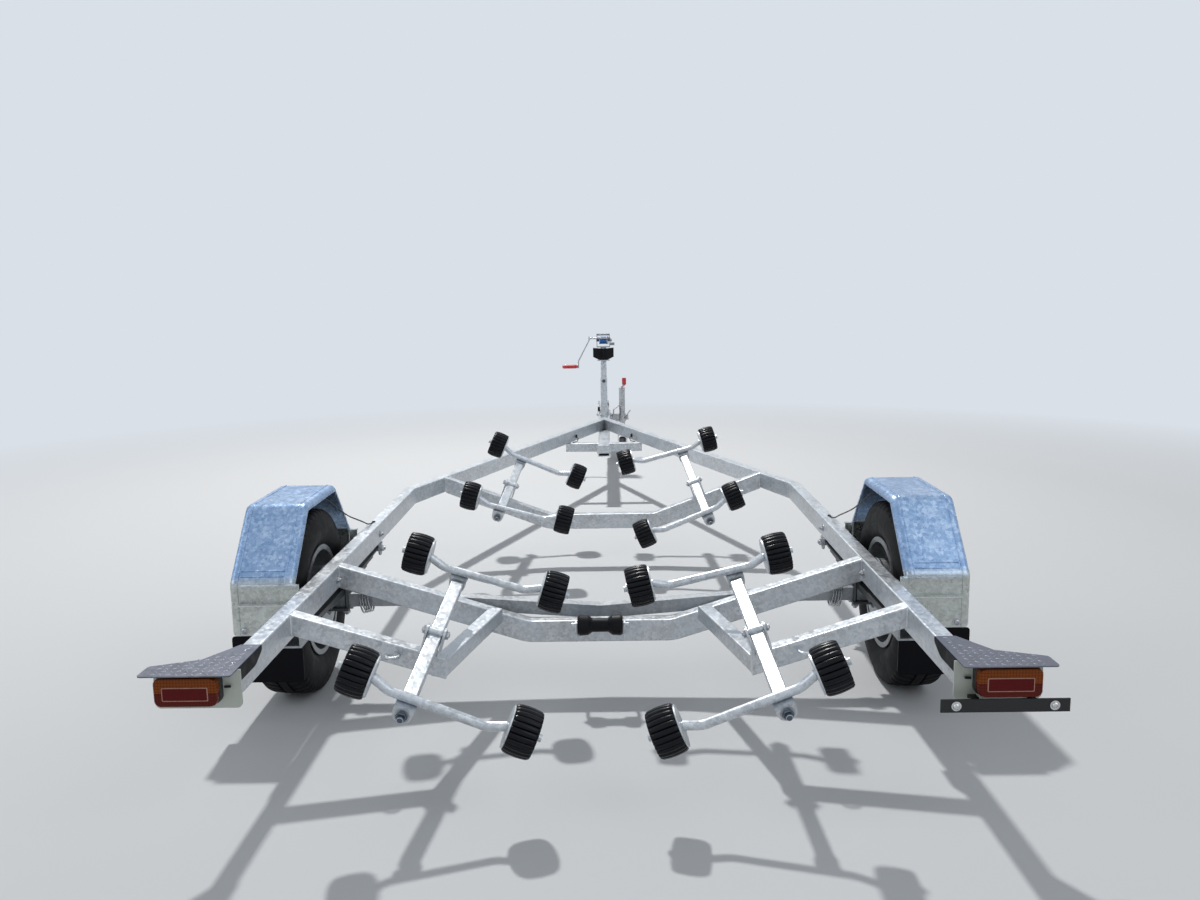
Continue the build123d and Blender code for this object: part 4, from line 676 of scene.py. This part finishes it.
def spot(x, along_mm, z):
    """Point from a distance out, a station measured from the wheel axle and a height, in mm."""
    return Vector((x * MM, along_mm * MM + AXLE_Y, z * MM))


def dome(radius, height, washer=0.0):
    """Button head with a hexagon socket, on a washer if one is given."""
    base = radius * 0.2 if washer else 0.0
    profile = [(0.0, 0.0)]
    if washer:
        profile += [(washer, 0.0), (washer, base)]
    profile += [(radius, base), (radius * 0.96, base + height * 0.45), (radius * 0.74, base + height * 0.85)]
    profile += [(radius * 0.46, base + height), (radius * 0.42, base + height * 0.45)]
    profile.append((0.0, base + height * 0.4))
    return turned(profile, 24)


def fasten(name, shape, axis, places, metal=BOLT, sides=(-1, 1), body="chassis"):
    """One piece of equal fasteners; places and axis are the right side's."""
    parts = []
    for x, station, z in places:
        for side in sides:
            parts.append((shape, along(spot(side * x, station, z), (axis[0] * side, axis[1], axis[2]))))
    make_piece(name, joined(*parts), metal, body)


U_BOLT_PLACES = [(875.5, -32), (875.5, 32), (934.5, -32), (934.5, 32)]
guard_bolt = dome(9 * MM, 4.5 * MM, 13 * MM)
fasten("flap_bolts", guard_bolt, (0, -1, 0), [(1109, -362, 329), (975, -362, 329)])
fasten("front_guard_bolts", guard_bolt, (0, 1, 0), [(1109, 362, 345), (975, 362, 345)])
fasten("rail_bolts", bolt(10 * MM, 7 * MM, 14 * MM, 6 * MM), (-1, 0, 0), [(880, 521, 421), (880, -118, 419)])
fasten("eye_nuts", bolt(13 * MM, 9.5 * MM, 16 * MM, 6 * MM), (-1, 0, 0), [(876, 510, 366.6)])
fasten("eye_bolts", bolt(13 * MM, 9 * MM, 16 * MM), (1, 0, 0), [(934, 510, 366.6)])
fasten("u_bolt_nuts", bolt(12 * MM, 10 * MM, 0.0, 6 * MM), (0, 0, -1), [(*at, 287.4) for at in U_BOLT_PLACES])
fasten("u_bolt_tops", bolt(12 * MM, 9 * MM, 0.0, 3 * MM), (0, 0, 1), [(*at, 370.7) for at in U_BOLT_PLACES])
fasten("cheek_bolts", bolt(10 * MM, 7 * MM, 14 * MM, 5 * MM), (1, 0, 0),
       [(43.5, 4100, 358), (43.5, 4200, 358), (43.5, 4100, 392), (43.5, 4200, 392)])
fasten("post_pivot_nuts", bolt(12 * MM, 9 * MM, 16 * MM, 4 * MM), (1, 0, 0), [(43.5, 4150, 446)])
fasten("guard_screws", dome(5 * MM, 2.2 * MM), (0, 0, 1), [(905, -990, 461), (905, -900, 461)])
fasten("housing_bolts", bolt(9 * MM, 6.5 * MM), (0, 0, 1), [(38, 4640, 393), (38, 4820, 393)])

# Fasteners on one side only: number plate strip, post and drawbar
fasten("strip_bolts", dome(8.5 * MM, 5 * MM, 12 * MM), (0, -1, 0),
       [(864, -1070, 361.5), (1100, -1070, 361.5)], STAINLESS, (1,))
fasten("post_bolt", bolt(10 * MM, 7 * MM, 13 * MM, 5 * MM), (0, -1, 0), [(0, 4125, 702)], SPRING, (1,))
fasten("jockey_plate_bolts", bolt(9 * MM, 6 * MM, 12 * MM, 4 * MM), (1, 0, 0),
       [(45.5, 4722, 347), (45.5, 4798, 347)], BOLT, (1,))
fasten("winch_nuts", bolt(12 * MM, 8 * MM, 15 * MM, 3 * MM), (1, 0, 0), [(52, 4150, 1005)], BOLT, (1,),
       "winch_drum")


# Weld beads where the tubes meet

RAIL_INNER = 880.0
BEND_AT = 1265.0
TIP_AT = 3760.0


def bend_reach(station):
    """Distance of a rail's inner face from the middle, in front of its bend."""
    return RAIL_INNER * (TIP_AT - station) / (TIP_AT - BEND_AT)


BEADS = []
for station in (-91, -41):
    BEADS.append(((880, station, 384), (880, station, 455)))
for station in (-610, -560):
    BEADS.append(((880, station, 400), (880, station, 455)))
for station in (1540, 1590):
    reach = bend_reach(station)
    BEADS.append(((reach, station, 386), (reach, station, 455)))
for x in (331, 381):
    BEADS.append(((x, -91, 257), (x, -91, 0.317 * (x - 240) + 252)))
beads = []
for start, stop in BEADS:
    for side in (-1, 1):
        ends = [spot(side * p[0], p[1], p[2]) for p in (start, stop)]
        beads.append(weld_bead(ends[0], ends[1], 3.4 * MM))
beads.append(weld_bead(spot(0, 3908, 388), spot(0, 3908, 457), 3.6 * MM))
make_piece("weld_beads", joined(*beads), BEAD, "chassis", 60.0)


# Mudguard swages: ridges pressed along the inner edge and across the foot of the sloping panel

GUARD_CORNERS = [(-362, 312), (-362, 482), (-172, 690), (172, 690), (362, 482), (362, 312)]
GUARD_FOLD_R = 34.0


def rounded_path(corners, radius, steps=7):
    """Corners (a, b) as points, each inner corner rounded to a radius."""
    points = [Vector(corners[0])]
    for before, here, after in zip(corners, corners[1:], corners[2:]):
        here = Vector(here)
        back = (Vector(before) - here).normalized()
        ahead = (Vector(after) - here).normalized()
        half = back.angle(ahead) / 2
        run = radius / math.tan(half)
        centre = here + (back + ahead).normalized() * (radius / math.sin(half))
        start = here + back * run - centre
        stop = here + ahead * run - centre
        for i in range(steps + 1):
            share = i / steps
            ray = start.slerp(stop, share)
            points.append(centre + ray.normalized() * radius)
    points.append(Vector(corners[-1]))
    return points


skin = rounded_path(GUARD_CORNERS, GUARD_FOLD_R)
ridges = []
for side in (-1, 1):
    for x in (948 + 27, 1150 - 27):
        ridges.append(swept([spot(side * x, point[0], point[1]) for point in skin], 1.9 * MM, 8))
    for end in (-1, 1):
        for z in (499, 513):
            station = end * (362 - (z - 482) * 190 / 208 + 0.3)
            ridges.append(swept([spot(side * 981, station, z), spot(side * 1117, station, z)], 2.4 * MM, 8))
make_piece("guard_ridges", joined(*ridges), ZINC_SHEET_PAINTED_REFLECTION, "chassis", 60.0)


# Road tyres: tread ribs, sipes and sidewall rings

TYRE_R = 318.0
TYRE_STEPS = 480
SIPE_STEPS = 8
TREAD_EDGES = (17.0, 43.0)
GROOVE_HALF = 3.2
GROOVE_DEPTH = 6.5
SIPE_DEPTH = 5.0


def arc_points(first, middle, last, steps):
    """Points of the arc through three (x, radius) points, without the last."""
    ax, ay = first
    bx, by = middle
    cx, cy = last
    a = ax * ax + ay * ay
    b = bx * bx + by * by
    c = cx * cx + cy * cy
    d = 2 * (ax * (by - cy) + bx * (cy - ay) + cx * (ay - by))
    ux = (a * (by - cy) + b * (cy - ay) + c * (ay - by)) / d
    uy = (a * (cx - bx) + b * (ax - cx) + c * (bx - ax)) / d
    radius = math.hypot(ax - ux, ay - uy)
    start = math.atan2(ay - uy, ax - ux)
    turn = math.atan2(cy - uy, cx - ux) - start
    turn = (turn + math.pi) % (2 * math.pi) - math.pi
    angles = [start + turn * i / steps for i in range(steps)]
    return [(ux + radius * math.cos(angle), uy + radius * math.sin(angle)) for angle in angles]


def tyre_rows():
    """Rows (x, radius, groove depth, sipe depth) from the inner bead to the outer one."""
    wall = arc_points((72, 192.4), (90, 244), (78, 296), 18)
    shoulder = arc_points((78, 296), (73, 308), (62, 314), 5)
    right = [(72, 178.4, 0, 0)]
    for x, r in wall:
        ring = 1.0 if 200 < r < 205 or 262 < r < 265 or 283 < r < 290 else 0.0
        right.append((x - 0.6 + ring * 0.6, r, 0, 0))
    for x, r in shoulder:
        right.append((x, r, 0, SIPE_DEPTH if r > 300 else 0))
    tread = [62, 55, 47.5]
    for edge in reversed(TREAD_EDGES):
        tread += [edge + GROOVE_HALF + 0.7, edge + GROOVE_HALF, edge - GROOVE_HALF, edge - GROOVE_HALF - 0.7]
        tread.append(edge - 11)
    tread.append(0.0)
    for x in tread:
        radius = TYRE_R - 4 * (x / 62.0) ** 2
        grooved = any(abs(x - edge) <= GROOVE_HALF for edge in TREAD_EDGES)
        sipe = 0.0 if x < 17 or grooved else SIPE_DEPTH
        right.append((x, radius, GROOVE_DEPTH if grooved else 0.0, sipe))
    left = [(-x, r, groove, sipe) for x, r, groove, sipe in reversed(right[:-1])]
    return right + left


def treaded_tyre():
    rows = tyre_rows()
    points, faces = [], []
    for x, radius, groove, sipe in rows:
        slant = int(round(abs(x) / 9.0))
        for i in range(TYRE_STEPS):
            cut = sipe if (i + slant) % SIPE_STEPS < 2 else 0.0
            r = (radius - max(groove, cut)) * MM
            turn = 2 * math.pi * i / TYRE_STEPS
            points.append((x * MM, r * math.cos(turn), r * math.sin(turn)))
    for row in range(len(rows)):
        low = row * TYRE_STEPS
        high = (row + 1) % len(rows) * TYRE_STEPS
        for i in range(TYRE_STEPS):
            j = (i + 1) % TYRE_STEPS
            faces.append([low + i, high + i, high + j, low + j])
    return points, faces


tyre_shape = treaded_tyre()
for word in ("left", "right"):
    spin = JOINTS["wheel_" + word + "_spin"]
    tread = joined((tyre_shape, Matrix.Translation(spin["pos_m"])))
    piece = make_piece("treaded_tyre_" + word, tread, TYRE, "wheel_" + word, 40.0)
    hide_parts("tyre_" + word)
    side = -1 if word == "left" else 1
    nuts = []
    for i in range(5):
        turn = 2 * math.pi * (i + 0.25) / 5
        at = Vector(spin["pos_m"]) + Vector((side * 11, 56 * math.cos(turn), 56 * math.sin(turn))) * MM
        nuts.append((bolt(11 * MM, 13 * MM, 13 * MM, 3 * MM), along(at, (side, 0, 0))))
    valve_at = Vector(spin["pos_m"]) + Vector((side * 60, 0, 152)) * MM
    valve = turned(in_mm((0.0, 0.0), (5, 0.0), (5, 18), (3.6, 20), (3.6, 34), (0.0, 35)), 16)
    nuts.append((valve, along(valve_at, (side, 0, -0.25))))
    make_piece("wheel_nuts_" + word, joined(*nuts), BOLT, "wheel_" + word)


# Winch: drum gear and pinion, strap flanges, red grip

def toothed(radius, depth, teeth, thick):
    """Spur gear about Z from Z = 0 up."""
    outline = []
    for i in range(teeth):
        for share, out in ((-0.30, 0), (-0.16, 1), (0.16, 1), (0.30, 0)):
            turn = 2 * math.pi * (i + share) / teeth
            r = radius - (0 if out else depth)
            outline.append((r * math.cos(turn), r * math.sin(turn)))
    rim = [(x * 0.985, y * 0.985) for x, y in outline]
    return stacked([(rim, 0.0), (outline, thick * 0.12), (outline, thick * 0.88), (rim, thick)])


drum_at = Vector(JOINTS["winch_drum_turn"]["pos_m"])
crank_at = Vector(JOINTS["winch_crank_turn"]["pos_m"])
gear = toothed(31.2 * MM, 3.2 * MM, 32, 6 * MM)
make_piece("drum_gear", joined((gear, along(drum_at + Vector((32 * MM, 0, 0)), (1, 0, 0)))), PLATED,
           "winch_drum")
pinion = toothed(10.6 * MM, 3.0 * MM, 10, 10 * MM)
make_piece("crank_pinion", joined((pinion, along(crank_at + Vector((30 * MM, 0, 0)), (1, 0, 0)))), PLATED,
           "winch_crank")
flanges = []
for side in (-1, 1):
    ring = turned(in_mm((8, -0.2), (29.6, -0.2), (29.6, 4.4), (8, 4.4)), 48)
    flanges.append((ring, along(drum_at + Vector((side * 25 * MM, 0, 0)), (side, 0, 0))))
make_piece("strap_flanges", joined(*flanges), PLATED, "winch_drum")

grip_at = crank_at + Vector((-191.0 * MM, 0, -208 * MM))
grip_profile = [(0.0, -0.5), (9.6, -0.5), (12.0, 9.0), (14.4, 20), (14.0, 34), (14.5, 48), (14.1, 62),
                (14.5, 76), (14.1, 90), (14.5, 104), (11.5, 114), (9.0, 116.3), (0.0, 116.3)]
grip = joined((turned(in_mm(*grip_profile), 36), along(grip_at, (-1, 0, 0))))
make_piece("crank_grip", grip, RED_GRIP, "winch_crank", 50.0)


# Jockey wheel: red knob and steel wheel discs

knob_at = spot(162, 4870, 605)
knob_profile = [(0.0, -0.3), (16.3, -0.3), (17.4, 8.0), (16.6, 20.0), (17.4, 34.0), (16.9, 48.0),
                (16.2, 55.2), (9.0, 57.0), (0.0, 57.0)]
knob = turned(in_mm(*knob_profile), 32)
make_piece("jockey_knob", joined((knob, Matrix.Translation(knob_at))), RED_GRIP, "chassis", 50.0)

jockey_at = Vector(JOINTS["jockey_wheel_spin"]["pos_m"])
disc_profile = [(12.2, -13), (62, -13), (66.5, -3.5), (66.5, -2.5), (63, -9), (58, -11.7), (30, -11.7),
                (26, 0.3), (12.2, 0.5), (12.2, 12.4)]
disc = turned(in_mm(*disc_profile), 48)
discs = []
for side in (-1, 1):
    discs.append((disc, along(jockey_at + Vector((side * 28 * MM, 0, 0)), (side, 0, 0))))
make_piece("jockey_discs", joined(*discs), PLATED, "jockey_wheel")


# Coupling: rubber bellows and the hand brake's grip

COUPLING_Z = 385 + 34
BELLOWS_WAVES = 6
BELLOWS_LENGTH = 188
bellows = [(0.0, 0.0)]
for i in range(BELLOWS_WAVES * 10 + 1):
    share = i / (BELLOWS_WAVES * 10)
    wave = 0.5 - 0.5 * math.cos(2 * math.pi * BELLOWS_WAVES * share)
    bellows.append(((28.4 + 6.8 * wave) * MM, share * BELLOWS_LENGTH * MM))
bellows.append((0.0, BELLOWS_LENGTH * MM))
make_piece("bellows", joined((turned(bellows, 44), along(spot(0, 4851, COUPLING_Z), (0, 1, 0)))), BUMPER,
           "chassis", 60.0)
grip_line = [spot(-46, 4650, 401), spot(-46, 4650, 447)]
make_piece("brake_grip", swept(grip_line, 9.5 * MM, 20), BUMPER, "chassis")


# Brake cable looped beside each spring

loops = []
for side in (-1, 1):
    for i in range(4):
        centre = spot(side * (798 + 9 * i), -8, 318 - 2 * i)
        ring = [centre + Vector((side * 0.006 * math.sin(a), math.cos(a) * 0.036, math.sin(a) * 0.042))
                for a in [2 * math.pi * k / 40 for k in range(40)]]
        loops.append(swept(ring, 3.0 * MM, 8, closed=True))
make_piece("brake_cable_loops", joined(*loops), PLATED, "chassis", 60.0)


# Lamp leads that hang from the rails' tops to the undersides of the mudguards

LEAD_R = 2.5
LEAD_LOW = 460 + LEAD_R
LEAD_RISE = 687 - LEAD_R - LEAD_LOW
# Distance out, station and share of the rise, on the right side
LEAD_ROUTE = [(913, 560, 0.0), (915, 500, 0.0), (922, 437, 0.124), (934, 370, 0.246), (937, 303, 0.354),
              (938, 238, 0.471), (939, 175, 0.601), (943, 113, 0.748), (953, 58, 0.894), (978, 12, 1.0),
              (980, -48, 1.0)]

for side, word in ((-1, "left"), (1, "right")):
    curve = bpy.data.curves.new("lamp_cord_" + word, "CURVE")
    curve.dimensions = "3D"
    curve.bevel_depth = LEAD_R * MM
    curve.bevel_resolution = 3
    curve.use_fill_caps = True
    route = [spot(side * x, station, LEAD_LOW + share * LEAD_RISE) for x, station, share in LEAD_ROUTE]
    spline = curve.splines.new("NURBS")
    spline.points.add(len(route) - 1)
    for point, at in zip(spline.points, route):
        point.co = (*at, 1.0)
    spline.order_u = 3
    spline.use_endpoint_u = True
    curve.materials.append(CABLE)
    lead = bpy.data.objects.new("lamp_cord_" + word, curve)
    bpy.context.scene.collection.objects.link(lead)
    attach(lead, "chassis")
    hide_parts("wires")

grommet = turned(in_mm((0.0, -0.2), (7, -0.2), (7, 2), (4.5, 5.2), (0.0, 5.6)), 24)
grommets = []
for side in (-1, 1):
    grommets.append((grommet, along(spot(side * 913, 562, 460), (0, 0, 1))))
    grommets.append((grommet, along(spot(side * 980, -50, 687), (0, 0, -1))))
make_piece("lead_grommets", joined(*grommets), CABLE, "chassis")


# Curved arm from the drawbar to the jockey wheel's tube

ARM_CORNERS = [(46, 4712, 352), (66, 4712, 352), (74, 4714, 420), (110, 4728, 446), (128, 4741, 446)]
arm_route = [spot(*point) for point in rounded_path(ARM_CORNERS, 14.0)]
make_piece("clamp_arm", swept(arm_route, 5.5 * MM, 12), PLATED, "chassis", 60.0)

# Cable clips inside the rails' front ends

CLIP_X = 186
CLIP_AT = TIP_AT - CLIP_X * (TIP_AT - BEND_AT) / RAIL_INNER
# Distance out from the rail's face, station from the clip and height
CLIP_ROUTE = [(6, 0, 404), (-2, 0, 412), (-4, 0, 426)]
CLIP_LEAD = [(-3, -4, 420), (-16, -30, 402), (-10, -70, 390), (18, -95, 388)]


def clip_route(side, points):
    """Places beside a clip on one side of the trailer."""
    return [spot(side * (CLIP_X + out), CLIP_AT + station, z) for out, station, z in points]


clips = [swept(clip_route(side, CLIP_ROUTE), [7 * MM, 8 * MM, 6 * MM], 12) for side in (-1, 1)]
leads = [swept(clip_route(side, CLIP_LEAD), 2.6 * MM, 8) for side in (-1, 1)]
make_piece("cable_clips", joined(*clips, *leads), CABLE, "chassis", 50.0)


# Black facing on the inner flap of each lamp guard

flap_outline = [(0.0, 1.4), (0.0, -34.5), (109, -34.5), (122, -31.5), (160, -14), (166.4, -8), (166.4, 1.4)]
facings = []
for side in (-1, 1):
    face = RAIL_INNER - 3.0
    rows = []
    for x in (face + 0.4, face - 1.6):
        rows.append([spot(side * x, -1026 + a, 460 + z) for a, z in flap_outline])
    count = len(flap_outline)
    points = [tuple(p) for row in rows for p in row]
    faces = [list(range(count)), list(reversed(range(count, 2 * count)))]
    faces += [[i, (i + 1) % count, count + (i + 1) % count, count + i] for i in range(count)]
    facings.append((points, faces))
make_piece("guard_flap_facings", joined(*facings), FLAP, "chassis")


# Lower lips of the mudguard stays, and the front cross's face over the drawbar's open end

lip_outline = in_mm((-86, 0), (86, 0), (86, 24), (83, 27), (-83, 27), (-86, 24))
lip = slab(lip_outline, 2.6 * MM, 0.8 * MM)
lips = []
for side in (-1, 1):
    for end in (-1, 1):
        turn = Matrix.Rotation(0.0 if end > 0 else math.pi, 4, "Z")
        lips.append((lip, Matrix.Translation(spot(side * 1030, end * 362.5, 416.2)) @ turn))
# Painted highlight: the lips are galvanised, but take the brighter stainless finish to stand in for their lit
# edge
make_piece("stay_lips_painted_highlight", joined(*lips), STAINLESS, "chassis")
face = slab(rounded_outline(92 * MM, 54 * MM, 3 * MM), 3 * MM, 0.8 * MM)
cover_at = spot(0, 3019.5, 385 - 27.5)
make_piece("front_cross_face", joined((face, along(cover_at, (0, -1, 0)))), ZINC, "chassis")


# Camera, floor and light

CAMERA_AT = Vector((0.04289, -3.35338 + AXLE_Y, 1.35589))
PITCH_DOWN = 0.15601
YAW_LEFT = 0.01069
ROLL = 0.01608
forward = Vector((-math.sin(YAW_LEFT) * math.cos(PITCH_DOWN), math.cos(YAW_LEFT) * math.cos(PITCH_DOWN),
                  -math.sin(PITCH_DOWN)))
right = Vector((math.cos(YAW_LEFT), math.sin(YAW_LEFT), 0.0))
up = right.cross(forward)
right_rolled = right * math.cos(ROLL) - up * math.sin(ROLL)
up_rolled = right * math.sin(ROLL) + up * math.cos(ROLL)

camera_data = bpy.data.cameras.new("camera")
camera_data.lens = 30.0
camera_data.sensor_width = 36.0
camera_data.clip_end = 200.0
camera = bpy.data.objects.new("camera", camera_data)
placed = Matrix((right_rolled, up_rolled, -forward)).transposed().to_4x4()
placed.translation = CAMERA_AT
camera.matrix_world = placed
bpy.context.scene.collection.objects.link(camera)
bpy.context.scene.camera = camera

BACKDROP = (0.70, 0.745, 0.80, 1.0)


def shown_rays(tree):
    """One for rays that show the backdrop: from the camera, off a gloss or through glass."""
    rays = tree.nodes.new("ShaderNodeLightPath").outputs
    gloss = tree.nodes.new("ShaderNodeMath")
    gloss.operation = "MAXIMUM"
    tree.links.new(rays["Is Camera Ray"], gloss.inputs[0])
    tree.links.new(rays["Is Glossy Ray"], gloss.inputs[1])
    either = tree.nodes.new("ShaderNodeMath")
    either.operation = "MAXIMUM"
    tree.links.new(gloss.outputs[0], either.inputs[0])
    tree.links.new(rays["Is Transmission Ray"], either.inputs[1])
    return either.outputs[0]


floor_mesh = bpy.data.meshes.new("floor")
floor_mesh.from_pydata([(-60, -60, 0), (60, -60, 0), (60, 60, 0), (-60, 60, 0)], [], [(0, 1, 2, 3)])
floor = bpy.data.objects.new("floor", floor_mesh)
bpy.context.scene.collection.objects.link(floor)
floor_surface = Surface("pale_floor", Roughness=0.9, Specular_IOR_Level=0.1)
floor_surface.shader.inputs["Base Color"].default_value = (0.62, 0.635, 0.65, 1.0)
# The floor fades into the backdrop's colour with distance from the trailer
away = floor_surface.node("VectorMath", {0: floor_surface.coordinates}, operation="LENGTH").outputs["Value"]
faded = floor_surface.ranged(away, 0.0, 1.0, 3.6, 7.0)
glow = floor_surface.node("Emission", {"Color": BACKDROP, "Strength": 1.0})
seen = floor_surface.maths("MULTIPLY", faded, shown_rays(floor_surface.tree))
ground = floor_surface.node("MixShader", {"Fac": seen})
floor_surface.tree.links.new(floor_surface.shader.outputs[0], ground.inputs[1])
floor_surface.tree.links.new(glow.outputs[0], ground.inputs[2])
floor_surface.tree.links.new(ground.outputs[0], floor_surface.tree.nodes["Material Output"].inputs["Surface"])
floor_mesh.materials.append(floor_surface.material)

world = bpy.data.worlds.new("studio")
bpy.context.scene.world = world
world.use_nodes = True
tree = world.node_tree
background = tree.nodes["Background"]
background.inputs["Color"].default_value = (0.93, 0.96, 1.0, 1.0)
background.inputs["Strength"].default_value = 0.36
pale = tree.nodes.new("ShaderNodeBackground")
pale.inputs["Color"].default_value = BACKDROP
pale.inputs["Strength"].default_value = 1.0
shown = tree.nodes.new("ShaderNodeMixShader")
tree.links.new(shown_rays(tree), shown.inputs["Fac"])
tree.links.new(background.outputs[0], shown.inputs[1])
tree.links.new(pale.outputs[0], shown.inputs[2])
tree.links.new(shown.outputs[0], tree.nodes["World Output"].inputs["Surface"])

LIGHTS = [
    ("key", (-1.5, 3.5, 9.0), 0.45, 760.0, (1.0, 0.985, 0.96)),
    ("fill", (4.5, -6.0, 5.0), 5.0, 80.0, (0.90, 0.95, 1.0)),
    ("left", (-6.0, -4.0, 3.5), 4.0, 60.0, (0.92, 0.96, 1.0)),
]
for name, place, size, watts, colour in LIGHTS:
    data = bpy.data.lights.new(name, "AREA")
    data.shape = "DISK"
    data.size = size
    data.energy = watts
    data.color = colour
    lamp = bpy.data.objects.new(name, data)
    lamp.location = place
    lamp.rotation_euler = (Vector((0, 0, 0.3)) - Vector(place)).to_track_quat("-Z", "Y").to_euler()
    bpy.context.scene.collection.objects.link(lamp)

bpy.context.scene.view_settings.view_transform = "Standard"
